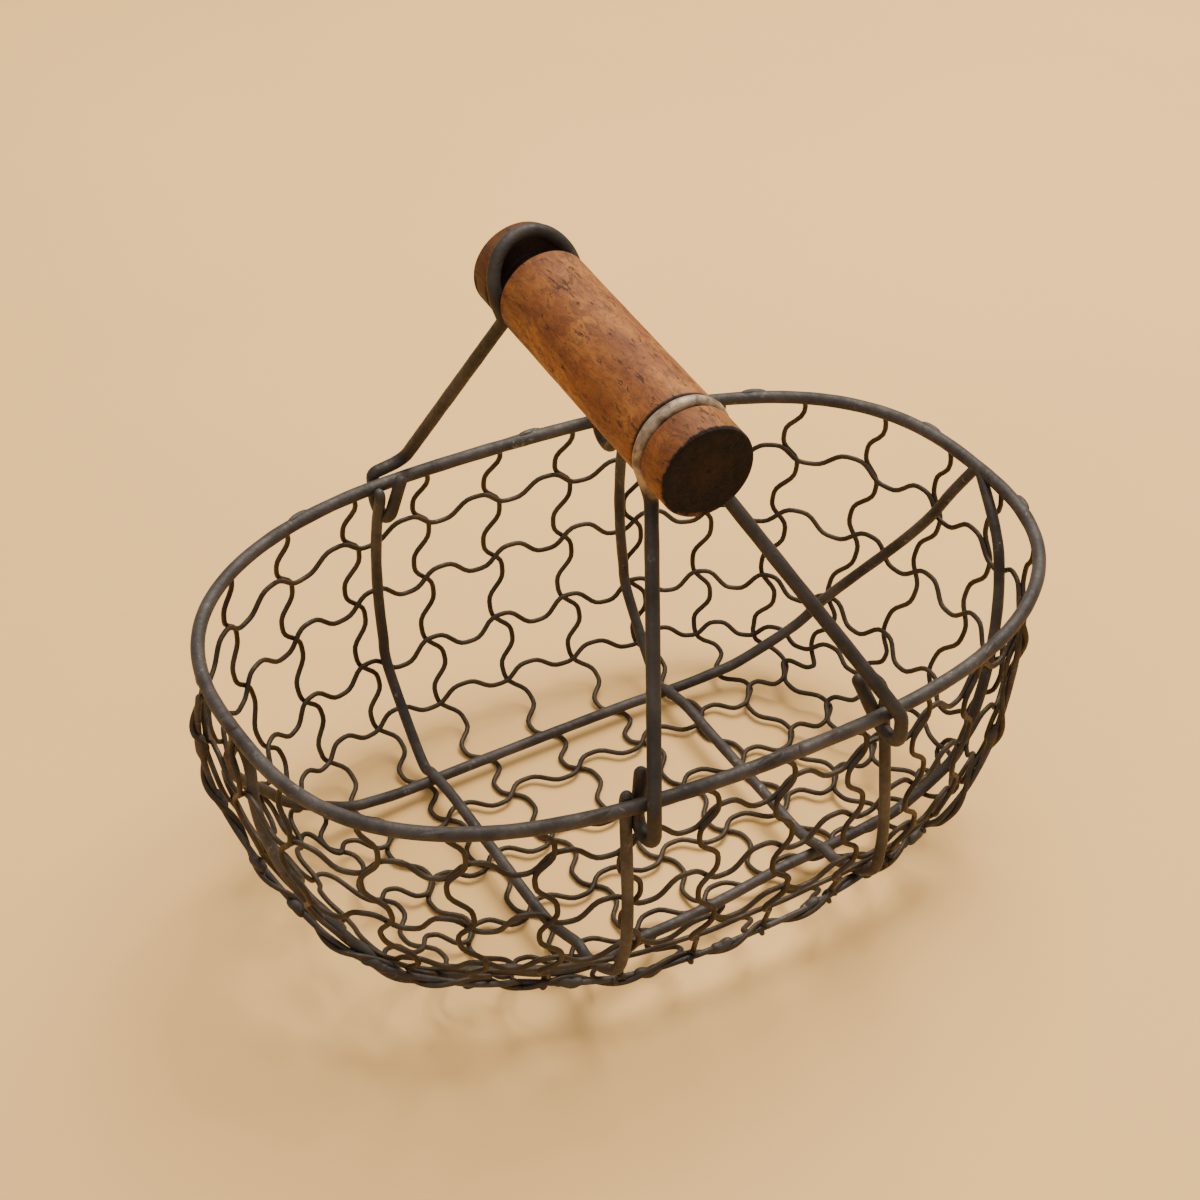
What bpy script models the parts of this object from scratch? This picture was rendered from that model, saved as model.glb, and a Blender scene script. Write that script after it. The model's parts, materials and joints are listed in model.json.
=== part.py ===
"""Wire storage basket with a turned wooden grip.

An oval basket of crimped wire mesh stands on its floor wires. A thick rim wire, two cross ribs and
two lengthwise ribs carry the mesh, and a thin seam wire laces the front panel to the floor. Two wire
bails are hooked round the rim and loop over the necks of the grip.
X runs along the basket, Y from front to back, Z up. The origin is on the table under the middle.
"""
import bisect
import math

import bmesh
import bpy
from mathutils import Vector

MM = 0.001

# Rim, an oval bent by hand and so a little uneven. Places round it are counted in equal parts
# from the middle of the front.
RIM_PARTS = 28
RIM_HALF_LENGTH = 127.0 * MM
RIM_HALF_WIDTH = 84.8 * MM
RIM_SQUARENESS = 2.6
RIM_NARROW_SHARE = -0.032
RIM_SWEEP_SHARE = -0.0386
RIM_SHEAR_SHARE = -0.0518
RIM_HEIGHT = 105.5 * MM
RIM_WIRE_RADIUS = 2.15 * MM

# Body under the rim, as the ribs form it
FRONT_DROP = 83.1 * MM
BACK_DROP = 88.9 * MM
RIGHT_BULGE_SHARE = -0.005
LEFT_BULGE_SHARE = 0.037
RIGHT_TAPER_SHARE = 0.22
LEFT_TAPER_SHARE = 0.194
FRONT_BULGE_SHARE = 0.0
BACK_BULGE_SHARE = 0.09
FRONT_TAPER_SHARE = 0.133
LEFT_CORNER_TAPER_SHARE = 0.7
BACK_TAPER_SHARE = 0.023
END_TAPER_POWER = 2
SIDE_TAPER_POWER = 6
CORNER_POWER = 3
END_BLEND_SHARE = 0.3
FRONT_FLAT_SHARE = 0.3
BACK_FLAT_SHARE = 0.75
END_FLAT_SHARE = 0.6

# Crimped mesh
MESH_COLUMNS = 27
MESH_COLUMN_SHIFT = 0.12
WALL_ROWS = 3
FIRST_ROW_DROP = 23.7 * MM
MESH_ROW_PITCH = 25.3 * MM
MESH_WIRE_RADIUS = 0.9 * MM
MESH_WAVE = 3.5 * MM
FLOOR_COLUMNS_EACH_SIDE = 4
FLOOR_ROWS = 4
FLOOR_ROW_PITCH = 25.2 * MM

FRONT_PANEL_PARTS = 2.6
PANEL_TURN_PARTS = 1.8

# Ribs and seam
RIB_RADIUS = 1.8 * MM
CROSS_RIB_X = 44.4 * MM
CROSS_RIB_LEFT_FRONT_X = 45.4 * MM
CROSS_RIB_LEFT_BACK_X = 43.6 * MM
CROSS_RIB_RIGHT_FRONT_X = 38.6 * MM
CROSS_RIB_RIGHT_BACK_X = 42.8 * MM
LONG_RIB_FLOOR_Y = 48.5 * MM
LONG_RIB_WALL_SHARE = 0.95
LONG_RIB_EDGE_SHARE = 0.93
RIGHT_RIB_PLACE = 6.8
LEFT_RIB_PLACE = 7.2
RIGHT_FRONT_TURN = 2.0
RIGHT_BACK_TURN = 1.7
LEFT_FRONT_TURN = 0.9
LEFT_BACK_TURN = 2.3
RIGHT_FRONT_POWER = 0.5
RIGHT_BACK_POWER = 1.0
LEFT_FRONT_POWER = 2.0
LEFT_BACK_POWER = 1.1
SEAM_WIRE_RADIUS = 1.1 * MM
SEAM_RIGHT_PLACE = 4.2
SEAM_LEFT_PLACE = 8.0
SEAM_RIGHT_BEND = 6.0
SEAM_LEFT_BEND = 3.5
SEAM_FOOT_PLACE = 3.3
SEAM_LAND_SHARE = 0.85
CROSS_RIB_WALL_SHARE = 0.94
CROSS_RIB_RISE_SHARE = 0.75
CROSS_RIB_FLOOR_SHARES = (0.88, 0.76, 0.62, 0.45, 0.22)

# Grip
GRIP_RADIUS = 14.4 * MM
GRIP_LENGTH = 114.0 * MM
GRIP_X = -5.5 * MM
GRIP_Y = 3.0 * MM
GRIP_ABOVE_RIM = 81.7 * MM
GRIP_CHAMFER = 1.0 * MM
GROOVE_CHAMFER = 0.6 * MM
NEAR_KNOB_LENGTH = 12.0 * MM
NEAR_GROOVE_PLAY = 0.5 * MM
FAR_KNOB_LENGTH = 15.4 * MM
FAR_GROOVE_LENGTH = 8.4 * MM

# Bails
BAIL_RADIUS = 1.9 * MM
LOOP_RADIUS = 13.2 * MM
LOOP_WRAP = math.radians(20)
PINCH_HALF_WIDTH = 10.8 * MM
PINCH_DROP = 9.0 * MM
PINCH_BEND_RADIUS = 4.0 * MM
LEG_DROP = 14.5 * MM
FAR_LOOP_LEAN = 0.8 * MM
BAIL_SWING = math.radians(1)
FRONT_HOOK_LEFT_X = 38.0 * MM
FRONT_HOOK_RIGHT_X = 43.4 * MM
BACK_HOOK_X = 38.0 * MM
HOOK_PLAY = 0.9 * MM
HOOK_DROP = 5.0 * MM
HOOK_TIP = 9.0 * MM
HOOK_SHOULDER = 1.5 * MM
LEG_BEND_RADIUS = 6.0 * MM
LOOP_BEND_RADIUS = 7.0 * MM
BACK_LEFT_RUN = 9.0 * MM
BACK_LEFT_RISE = 1.5 * MM

# Running gap between touching pieces
GAP = 0.3 * MM

# Facets
MESH_SIDES = 4
WAVE_POINTS = 4
RIM_SIDES = 8
WIRE_SIDES = 6
RIM_FACETS = 44
GRIP_FACETS = 20
LOOP_FACETS = 10
BEND_STEP = math.radians(36)

# Sizes that follow from the ones above
MESH_HALF = MESH_WIRE_RADIUS * math.cos(math.pi / MESH_SIDES)
LAYER = MESH_HALF + GAP / 2
MESH_OUTSIDE = LAYER + MESH_WIRE_RADIUS
FLOOR_HEIGHT = LAYER + MESH_HALF
RIB_INSET = RIM_WIRE_RADIUS + GAP + RIB_RADIUS
RIB_CLEAR = MESH_OUTSIDE + GAP + RIB_RADIUS
CROSS_RIB_LIFT = RIB_CLEAR + 2 * RIB_RADIUS + GAP
EDGE_STEP = (RIB_RADIUS + GAP + SEAM_WIRE_RADIUS) * math.cos(math.pi / 4) + 4 * GAP
GRIP_HEIGHT = RIM_HEIGHT + GRIP_ABOVE_RIM
SEAM_CLEAR = SEAM_WIRE_RADIUS + 2 * GAP + MESH_WIRE_RADIUS
NEAR_GROOVE_LENGTH = 2 * (BAIL_RADIUS + NEAR_GROOVE_PLAY)
NEAR_FACE_Y = GRIP_Y - GRIP_LENGTH / 2
FAR_FACE_Y = GRIP_Y + GRIP_LENGTH / 2
FRONT_LOOP_Y = NEAR_FACE_Y + NEAR_KNOB_LENGTH + NEAR_GROOVE_LENGTH / 2
BACK_LOOP_Y = FAR_FACE_Y - FAR_KNOB_LENGTH - FAR_GROOVE_LENGTH / 2
LOOP_CHORD_SHARE = math.cos((math.pi + 2 * LOOP_WRAP) / LOOP_FACETS / 2)
NEAR_NECK_RADIUS = LOOP_RADIUS * LOOP_CHORD_SHARE - BAIL_RADIUS - GAP

COLOURS = {
    "wire": ((0.075, 0.066, 0.060), 0.55, 0.85),
    "mesh": ((0.052, 0.042, 0.034), 0.60, 0.80),
    "wood": ((0.360, 0.150, 0.055), 0.60, 0.00),
}


# Curves of the body

def power(value, exponent):
    """Signed power, for the rounded oval."""
    return math.copysign(abs(value) ** exponent, value)


def oval(angle):
    """Point of the rim's rounded oval at an angle, as shares of its half sizes."""
    exponent = 2 / RIM_SQUARENESS
    return power(math.sin(angle), exponent), -power(math.cos(angle), exponent)


def rim_plan(angle, inset):
    """X and Y of the rim's oval at an angle, drawn in by an inset."""
    x_share, y_share = oval(angle)
    length, width = RIM_HALF_LENGTH - inset, RIM_HALF_WIDTH - inset
    straight = y_share * width
    y = straight * (1 + RIM_NARROW_SHARE * x_share)
    y += RIM_SWEEP_SHARE * x_share * (1 - x_share ** 2) * length
    return x_share * length + RIM_SHEAR_SHARE * straight, y


def length_table():
    """Angles at equal steps of length round the rim, starting at the middle of the front."""
    fine = 2048
    angles = [2 * math.pi * i / fine for i in range(fine + 1)]
    lengths = [0.0]
    last = rim_plan(0.0, 0)
    for angle in angles[1:]:
        here = rim_plan(angle, 0)
        lengths.append(lengths[-1] + math.hypot(here[0] - last[0], here[1] - last[1]))
        last = here
    return angles, lengths


ANGLES, LENGTHS = length_table()


def angle_at(along):
    """Angle of the rim's oval at a place along it."""
    wanted = (along / RIM_PARTS) % 1 * LENGTHS[-1]
    place = bisect.bisect_right(LENGTHS, wanted, 1, len(LENGTHS) - 1)
    share = (wanted - LENGTHS[place - 1]) / (LENGTHS[place] - LENGTHS[place - 1])
    return ANGLES[place - 1] + share * (ANGLES[place] - ANGLES[place - 1])


def ease(value):
    """Smooth step from 0 to 1."""
    value = min(1.0, max(0.0, value))
    return value * value * (3 - 2 * value)


def rim(along):
    """Centre of the rim wire at a place along it."""
    x, y = rim_plan(angle_at(along), 0)
    return Vector((x, y, RIM_HEIGHT))


def body(along, depth_share):
    """Point of the surface that the ribs' centres lie on. Share 0 is the rim, 1 the lower edge."""
    angle = angle_at(along)
    x_share, y_share = oval(angle)
    x, y = rim_plan(angle, RIB_INSET)
    hump = 4 * depth_share * (1 - depth_share)
    right = ease((x_share + END_BLEND_SHARE) / (2 * END_BLEND_SHARE))
    bulge = LEFT_BULGE_SHARE + (RIGHT_BULGE_SHARE - LEFT_BULGE_SHARE) * right
    taper = LEFT_TAPER_SHARE + (RIGHT_TAPER_SHARE - LEFT_TAPER_SHARE) * right
    swell = bulge * hump - taper * abs(depth_share) ** END_TAPER_POWER
    x += power(x_share, CORNER_POWER) * RIM_HALF_LENGTH * swell
    back = (1 + y_share) / 2
    bulge = FRONT_BULGE_SHARE + (BACK_BULGE_SHARE - FRONT_BULGE_SHARE) * back
    taper = FRONT_TAPER_SHARE + (BACK_TAPER_SHARE - FRONT_TAPER_SHARE) * back
    left = max(0.0, -x_share)
    taper += LEFT_CORNER_TAPER_SHARE * left ** 3 * (1 - left ** 2) * (1 - back)
    y *= 1 + bulge * hump - taper * abs(depth_share) ** SIDE_TAPER_POWER
    drop = FRONT_DROP + (BACK_DROP - FRONT_DROP) * back
    return Vector((x, y, RIM_HEIGHT - drop * depth_share))


def frame_of(surface, along, depth_share):
    """Point of a wall, direction along its rows, direction down it and outward normal."""
    step = 0.01
    across = (surface(along + step, depth_share) - surface(along - step, depth_share)).normalized()
    down = (surface(along, depth_share + step) - surface(along, depth_share - step)).normalized()
    normal = across.cross(-down).normalized()
    return surface(along, depth_share), across, down, normal


def outside(along):
    """1 where the mesh lies outside the ribs, -1 on the front panel, which lies inside them."""
    half = RIM_PARTS / 2
    away = abs((along + half) % RIM_PARTS - half)
    return 2 * ease((away - FRONT_PANEL_PARTS) / PANEL_TURN_PARTS) - 1


def wall(along, depth_share):
    """Point of the mesh wall between its two layers of wire."""
    place, _, _, normal = frame_of(body, along, depth_share)
    return place + normal * RIB_CLEAR * outside(along)


def edge(along):
    """Point of the floor's border: under the ribs in front, outside them elsewhere."""
    place, _, _, normal = frame_of(body, along, 1)
    level = Vector((normal.x, normal.y, 0)).normalized()
    return place + level * EDGE_STEP * outside(along) - Vector((0, 0, EDGE_STEP))


def edge_table():
    """Polar angle, distance and height of the floor's border, in order of angle."""
    fine = 12
    rows = []
    for i in range(RIM_PARTS * fine):
        place = edge(i / fine)
        rows.append((math.atan2(place.y, place.x), math.hypot(place.x, place.y), place.z))
    rows.sort()
    first, last = rows[0], rows[-1]
    rows.insert(0, (last[0] - 2 * math.pi, last[1], last[2]))
    rows.append((first[0] + 2 * math.pi, first[1], first[2]))
    return rows


EDGE = edge_table()
EDGE_ANGLES = [row[0] for row in EDGE]


def border(x, y):
    """Share of the way from the middle of the floor to its border, and the border's height."""
    angle = math.atan2(y, x)
    place = bisect.bisect_right(EDGE_ANGLES, angle, 1, len(EDGE) - 1)
    before, after = EDGE[place - 1], EDGE[place]
    share = (angle - before[0]) / (after[0] - before[0])
    reach = before[1] + share * (after[1] - before[1])
    return math.hypot(x, y) / reach, before[2] + share * (after[2] - before[2])


def floor(x, y):
    """Point of the mesh floor between its two layers: flat in the middle, raised to the border."""
    share, height = border(x, y)
    slant = math.sin(math.atan2(y, x))
    side = BACK_FLAT_SHARE if slant > 0 else FRONT_FLAT_SHARE
    flat = END_FLAT_SHARE + (side - END_FLAT_SHARE) * slant ** 2
    out = max(0.0, (share - flat) / (1 - flat))
    return Vector((x, y, FLOOR_HEIGHT + (height - FLOOR_HEIGHT) * out ** 2))


def floor_normal(x, y):
    """Upward normal of the mesh floor."""
    step = MESH_WIRE_RADIUS
    along = floor(x + step, y) - floor(x - step, y)
    across = floor(x, y + step) - floor(x, y - step)
    return along.cross(across).normalized()


def above_floor(x, y, lift):
    """Point at a height over the mesh floor, square to it."""
    return floor(x, y) + floor_normal(x, y) * lift


# Solids from curves

def smooth(points, per_span):
    """Points of a smooth curve through the given ones."""
    ends = [2 * points[0] - points[1]] + points + [2 * points[-1] - points[-2]]
    out = []
    for a, b, c, d in zip(ends, ends[1:], ends[2:], ends[3:]):
        for i in range(per_span):
            t = i / per_span
            out.append(0.5 * (2 * b + (c - a) * t + (2 * a - 5 * b + 4 * c - d) * t ** 2
                              + (3 * b - a - 3 * c + d) * t ** 3))
    out.append(points[-1])
    return out


def rounded(points, radii):
    """A run of straight stretches with an arc of the given radius at each inner corner."""
    out = [points[0]]
    for before, corner, after, radius in zip(points, points[1:], points[2:], radii):
        to_before = (before - corner).normalized()
        to_after = (after - corner).normalized()
        half = to_before.angle(to_after) / 2
        setback = radius / math.tan(half)
        centre = corner + (to_before + to_after).normalized() * (radius / math.sin(half))
        first = corner + to_before * setback - centre
        last = corner + to_after * setback - centre
        turn = first.angle(last)
        count = max(1, math.ceil(turn / BEND_STEP))
        for i in range(count + 1):
            t = i / count
            out.append(centre + (first * math.sin((1 - t) * turn) + last * math.sin(t * turn))
                       / math.sin(turn))
    out.append(points[-1])
    return out


def carried_normals(points, start):
    """Side vectors carried along an open curve without twist."""
    out = []
    normal = start
    for i in range(len(points)):
        tangent = (points[min(i + 1, len(points) - 1)] - points[max(i - 1, 0)]).normalized()
        normal = (normal - tangent * normal.dot(tangent)).normalized()
        out.append(normal)
    return out


def wire_mesh(points, normals, radius, sides, closed=False):
    """A wire of round section along a curve, one flat side facing each normal."""
    shape = bmesh.new()
    count = len(points)
    rings = []
    for i, (point, normal) in enumerate(zip(points, normals)):
        if closed:
            tangent = points[(i + 1) % count] - points[i - 1]
        else:
            tangent = points[min(i + 1, count - 1)] - points[max(i - 1, 0)]
        tangent.normalize()
        across = tangent.cross(normal).normalized()
        upright = across.cross(tangent)
        ring = []
        for k in range(sides):
            angle = 2 * math.pi * (k + 0.5) / sides
            ring.append(shape.verts.new(point + radius * (math.cos(angle) * upright
                                                          + math.sin(angle) * across)))
        rings.append(ring)
    spans = count if closed else count - 1
    for i in range(spans):
        here, there = rings[i], rings[(i + 1) % count]
        for k in range(sides):
            n = (k + 1) % sides
            shape.faces.new((here[k], here[n], there[n], there[k]))
    if not closed:
        shape.faces.new(list(reversed(rings[0])))
        shape.faces.new(rings[-1])
    bmesh.ops.recalc_face_normals(shape, faces=shape.faces)
    return shape


def material(name, kind):
    """A piece's own Principled material."""
    colour, roughness, metallic = COLOURS[kind]
    finish = bpy.data.materials.new(name + "_finish")
    finish.use_nodes = True
    shader = finish.node_tree.nodes["Principled BSDF"]
    shader.inputs["Base Color"].default_value = (*colour, 1)
    shader.inputs["Roughness"].default_value = roughness
    shader.inputs["Metallic"].default_value = metallic
    return finish


def add_piece(name, shape, kind, pivot=None):
    """Turn a bmesh in world places into a named object, with its origin on its joint if it has one."""
    mesh = bpy.data.meshes.new(name)
    if pivot is not None:
        bmesh.ops.translate(shape, verts=shape.verts, vec=-pivot)
    shape.to_mesh(mesh)
    shape.free()
    mesh.shade_smooth()
    mesh.set_sharp_from_angle(angle=math.radians(50))
    piece = bpy.data.objects.new(name, mesh)
    if pivot is not None:
        piece.location = pivot
    piece.data.materials.append(material(name, kind))
    bpy.context.scene.collection.objects.link(piece)
    return piece


# Frame wires

def make_rim():
    """The thick rim wire, a closed oval."""
    points = [rim(RIM_PARTS * i / RIM_FACETS) for i in range(RIM_FACETS)]
    upright = [Vector((0, 0, 1))] * RIM_FACETS
    add_piece("rim_wire", wire_mesh(points, upright, RIM_WIRE_RADIUS, RIM_SIDES, closed=True), "wire")


def place_at_x(surface, x, front):
    """Place along the rim where a line round the basket passes a given X on the front or back."""
    quarter = RIM_PARTS / 4
    low, high = (-quarter, quarter) if front else (3 * quarter, quarter)
    for _ in range(40):
        middle = (low + high) / 2
        if surface(middle).x < x:
            low = middle
        else:
            high = middle
    return low


def cross_rib_side(top_x, foot_x, front):
    """Half of a cross rib, from above the rim down the wall and out to the flat floor."""
    points = []
    steps = 7
    for i in range(steps):
        share = i / steps * CROSS_RIB_WALL_SHARE * steps / (steps - 1)
        x = top_x + (foot_x - top_x) * share
        points.append(body(place_at_x(lambda along: body(along, share), x, front), share))
    top = points[0] + Vector((0, 0, RIM_WIRE_RADIUS + RIB_RADIUS))
    foot_y = edge(place_at_x(edge, foot_x, front)).y
    for share in CROSS_RIB_FLOOR_SHARES:
        high = ease((CROSS_RIB_WALL_SHARE - share) / (CROSS_RIB_WALL_SHARE - CROSS_RIB_RISE_SHARE))
        points.append(above_floor(foot_x, foot_y * share, RIB_CLEAR + (CROSS_RIB_LIFT - RIB_CLEAR) * high))
    return [top] + points


def make_cross_rib(name, side, front_x, back_x):
    """A U-shaped cross rib: front wall, floor and back wall in one wire."""
    front = cross_rib_side(side * front_x, side * CROSS_RIB_X, True)
    back = cross_rib_side(side * back_x, side * CROSS_RIB_X, False)
    middle = above_floor(side * CROSS_RIB_X, 0, CROSS_RIB_LIFT)
    points = smooth(front, 2)[:-1] + [front[-1], middle, back[-1]] + smooth(back, 2)[-2::-1]
    normals = carried_normals(points, Vector((side, 0, 0)))
    add_piece(name, wire_mesh(points, normals, RIB_RADIUS, WIRE_SIDES), "wire")


def long_rib_end(end, side, turn, bend):
    """Quarter of a lengthwise rib, from the rim's end down the end wall and onto the floor."""
    end_place = RIGHT_RIB_PLACE if end > 0 else -LEFT_RIB_PLACE
    start = (RIB_RADIUS + GAP / 2) * RIM_PARTS / LENGTHS[-1]
    points = []
    steps = 8
    for i in range(steps):
        share = LONG_RIB_WALL_SHARE * i / (steps - 1)
        turned = start + (turn - start) * share ** bend
        points.append(body(end_place - end * side * turned, share))
    foot = edge(end_place - end * side * turn)
    runs = 8
    for i in range(1, runs):
        share = LONG_RIB_EDGE_SHARE * (1 - i / runs)
        y = foot.y + (-side * LONG_RIB_FLOOR_Y - foot.y) * (1 - share ** 3)
        points.append(above_floor(foot.x * share, y, RIB_CLEAR))
    return points


def make_long_rib(name, side, turns, bends):
    """A lengthwise rib, bowed towards the front or the back of the floor. Side 1 is the front."""
    left = long_rib_end(-1, side, turns[0], bends[0])
    right = long_rib_end(1, side, turns[1], bends[1])
    middle = above_floor(0, -side * LONG_RIB_FLOOR_Y, RIB_CLEAR)
    points = left + [middle] + right[::-1]
    normals = carried_normals(points, Vector((0, side, 0)))
    add_piece(name, wire_mesh(points, normals, RIB_RADIUS, WIRE_SIDES), "wire")


def seam_side(top_place, foot_place, bend):
    """One end of the seam, from under the rim down outside the end wall to the floor's border."""
    offset = MESH_OUTSIDE + GAP + SEAM_WIRE_RADIUS
    first = (RIM_WIRE_RADIUS + GAP) / FRONT_DROP
    points = []
    rises = 14
    for i in range(rises):
        t = i / rises
        share = first + (1 - first) * math.sin(t * math.pi / 2)
        along = top_place + (foot_place - top_place) * share ** bend
        place, _, _, normal = frame_of(wall, along, share)
        low = ease((t - SEAM_LAND_SHARE) / (1 - SEAM_LAND_SHARE))
        points.append((place + normal * offset).lerp(edge(along), low))
    return points


def make_seam():
    """The thin seam wire: down one end wall, along the floor's front border and up the other end."""
    right = seam_side(SEAM_RIGHT_PLACE, SEAM_FOOT_PLACE, SEAM_RIGHT_BEND)
    left = seam_side(-SEAM_LEFT_PLACE, -SEAM_FOOT_PLACE, SEAM_LEFT_BEND)
    runs = 18
    front = [edge(SEAM_FOOT_PLACE * (1 - 2 * i / runs)) for i in range(runs + 1)]
    points = right + front + left[::-1]
    normals = carried_normals(points, Vector((0, -1, 0)))
    add_piece("seam_wire", wire_mesh(points, normals, SEAM_WIRE_RADIUS, WIRE_SIDES), "wire")


# Crimped mesh

def wave(phase):
    """Sideways crimp of a mesh wire, one full wave for each cell."""
    return MESH_WAVE * math.sin(2 * math.pi * phase)


def wave_phases(first, last):
    """Phases of the points of a crimped wire between two ends, four to a wave."""
    start = math.ceil(first * WAVE_POINTS - 0.5 + 0.3)
    stop = math.floor(last * WAVE_POINTS - 0.5 - 0.3)
    inner = [(i + 0.5) / WAVE_POINTS for i in range(start, stop + 1)]
    return [first] + inner + [last]


def row_share(row):
    """Depth share at a row of the wall mesh, also between two. The last one lies on the edge."""
    last = WALL_ROWS - 1
    if row <= last:
        return (FIRST_ROW_DROP + row * MESH_ROW_PITCH) / BACK_DROP
    share = row_share(last)
    return share + (1 - share) * (row - last)


def mesh_place(column):
    """Place round the rim of a mesh column, also between two."""
    return (column + MESH_COLUMN_SHIFT) * RIM_PARTS / MESH_COLUMNS


def make_wall_row(number, share):
    """One closed crimped wire round the wall, on the inner layer."""
    points, normals = [], []
    for i in range(MESH_COLUMNS * WAVE_POINTS):
        phase = (i + 0.5) / WAVE_POINTS
        place, _, down, normal = frame_of(wall, mesh_place(phase), share)
        points.append(place - down * wave(phase) - normal * LAYER)
        normals.append(normal)
    shape = wire_mesh(points, normals, MESH_WIRE_RADIUS, MESH_SIDES, closed=True)
    add_piece(f"wall_row_{number}", shape, "mesh")


def make_wall_column(number):
    """One crimped wire from under the rim down to the lower edge, on the outer layer."""
    points, normals = [], []
    along = mesh_place(number)
    low, high = -1.0, 1.0
    for _ in range(40):
        top = (low + high) / 2
        if wall(along, row_share(top)).z > RIM_HEIGHT - RIM_WIRE_RADIUS - GAP - MESH_WIRE_RADIUS:
            low = top
        else:
            high = top
    near_rib = abs(abs(body(along, 1).x) - CROSS_RIB_X) < RIB_RADIUS + MESH_WAVE + MESH_WIRE_RADIUS
    bottom = WALL_ROWS - 1 / 2 if outside(along) < 0 and near_rib else WALL_ROWS
    for phase in wave_phases(top, bottom):
        place, across, _, normal = frame_of(wall, along, row_share(phase))
        points.append(place - across * wave(phase) + normal * LAYER)
        normals.append(normal)
    shape = wire_mesh(points, normals, MESH_WIRE_RADIUS, MESH_SIDES)
    add_piece(f"wall_column_{number + 1:02d}", shape, "mesh")


def inside_edge(x, y, dx, dy, clearance):
    """How far a straight line on the floor runs before it comes near the border."""
    low, high = 0.0, RIM_HALF_LENGTH
    for _ in range(40):
        middle = (low + high) / 2
        px, py = x + dx * middle, y + dy * middle
        if border(px, py)[0] < 1 - clearance / math.hypot(px, py):
            low = middle
        else:
            high = middle
    return low


def cells_to(distance, place):
    """How many cells of the floor mesh a distance from the middle spans."""
    low, high = 0.0, MESH_COLUMNS / 2
    for _ in range(40):
        middle = (low + high) / 2
        if abs(place(math.copysign(middle, distance))) < abs(distance):
            low = middle
        else:
            high = middle
    return low


def floor_wire(reaches, place):
    """Phases and distances along a floor wire, which ends on a whole or a half wave at each side."""
    ends = [math.copysign(round(2 * cells_to(reach, place)) / 2, reach) for reach in reaches]
    run = []
    for phase in wave_phases(*ends):
        side = 0 if phase < 0 else 1
        whole = math.ceil(abs(ends[side])) - 1
        if abs(phase) <= whole:
            run.append((phase, place(phase)))
            continue
        held = place(math.copysign(whole, ends[side]))
        share = (abs(phase) - whole) / (abs(ends[side]) - whole)
        run.append((phase, held + (reaches[side] - held) * share))
    return run


def edges_x(column):
    """X half way between a front column's foot and that of the back column behind it."""
    return (edge(mesh_place(column)).x + edge(mesh_place(MESH_COLUMNS // 2 - column)).x) / 2


def floor_column_x(column):
    """X of the floor at a mesh column, also between two wires and past the last one."""
    last = FLOOR_COLUMNS_EACH_SIDE
    held = max(-last, min(last, column))
    here = edges_x(held)
    step = here - edges_x(held - math.copysign(1, held))
    return here - edges_x(0) + abs(column - held) * step


def floor_row_y(row):
    """Y of the floor at a number of cells from its middle. The lengthwise wires lie at the halves."""
    return row * FLOOR_ROW_PITCH


def make_floor_cross_wire(number, column):
    """One crimped wire across the floor, on the lower layer."""
    x = floor_column_x(column)
    reaches = (-inside_edge(x, 0, 0, -1, SEAM_CLEAR), inside_edge(x, 0, 0, 1, MESH_WIRE_RADIUS + GAP))
    points, normals = [], []
    for phase, y in floor_wire(reaches, floor_row_y):
        px = x + wave(phase)
        normal = floor_normal(px, y)
        points.append(floor(px, y) - normal * LAYER)
        normals.append(normal)
    shape = wire_mesh(points, normals, MESH_WIRE_RADIUS, MESH_SIDES)
    add_piece(f"floor_cross_wire_{number}", shape, "mesh")


def make_floor_long_wire(number, row):
    """One crimped wire along the floor, on the upper layer."""
    y = floor_row_y(row)
    reaches = (-inside_edge(0, y, -1, 0, SEAM_CLEAR), inside_edge(0, y, 1, 0, SEAM_CLEAR))
    points, normals = [], []
    for phase, x in floor_wire(reaches, floor_column_x):
        py = y + wave(phase)
        normal = floor_normal(x, py)
        points.append(floor(x, py) + normal * LAYER)
        normals.append(normal)
    shape = wire_mesh(points, normals, MESH_WIRE_RADIUS, MESH_SIDES)
    add_piece(f"floor_long_wire_{number}", shape, "mesh")


# Grip and bails

def rim_y(x, front):
    """Y of the rim wire's centre at a given X."""
    return rim(place_at_x(rim, x, front)).y


def hook_places(left_x, right_x, front):
    """Where the two hooks of a bail hang on the rim: its pivot line runs from one to the other."""
    return [Vector((x, rim_y(x, front), RIM_HEIGHT)) for x in (-left_x, right_x)]


def bail_foot(x, centre_y, outward):
    """Corners of a hook, from its tip inside the rim to the shoulder outside it."""
    arm = RIM_WIRE_RADIUS + HOOK_PLAY + BAIL_RADIUS
    inner, outer = centre_y - outward * arm, centre_y + outward * arm
    return [Vector((x, inner, RIM_HEIGHT + HOOK_TIP)),
            Vector((x, inner, RIM_HEIGHT - HOOK_DROP - arm)),
            Vector((x, outer, RIM_HEIGHT - HOOK_DROP - arm)),
            Vector((x, outer, RIM_HEIGHT + HOOK_SHOULDER))], arm


def leg(foot, arm, run, loop_y, loop_end, side):
    """One leg of a bail, from the tip of its hook up to the end of its loop."""
    pinch = Vector((GRIP_X + side * PINCH_HALF_WIDTH, loop_y, GRIP_HEIGHT - PINCH_DROP))
    spread = (foot[-1].x - pinch.x) / (foot[-1].z - pinch.z)
    low = Vector((pinch.x - (LEG_DROP - PINCH_DROP) * spread, loop_y, GRIP_HEIGHT - LEG_DROP))
    corners, radii = list(foot), [arm, arm]
    if run:
        corners.append(foot[-1] + Vector((-side * run, 0, BACK_LEFT_RISE)))
        radii.append(BAIL_RADIUS)
    corners += [low, pinch, loop_end]
    radii += [LEG_BEND_RADIUS, LOOP_BEND_RADIUS, PINCH_BEND_RADIUS]
    return rounded(corners, radii)


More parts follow.
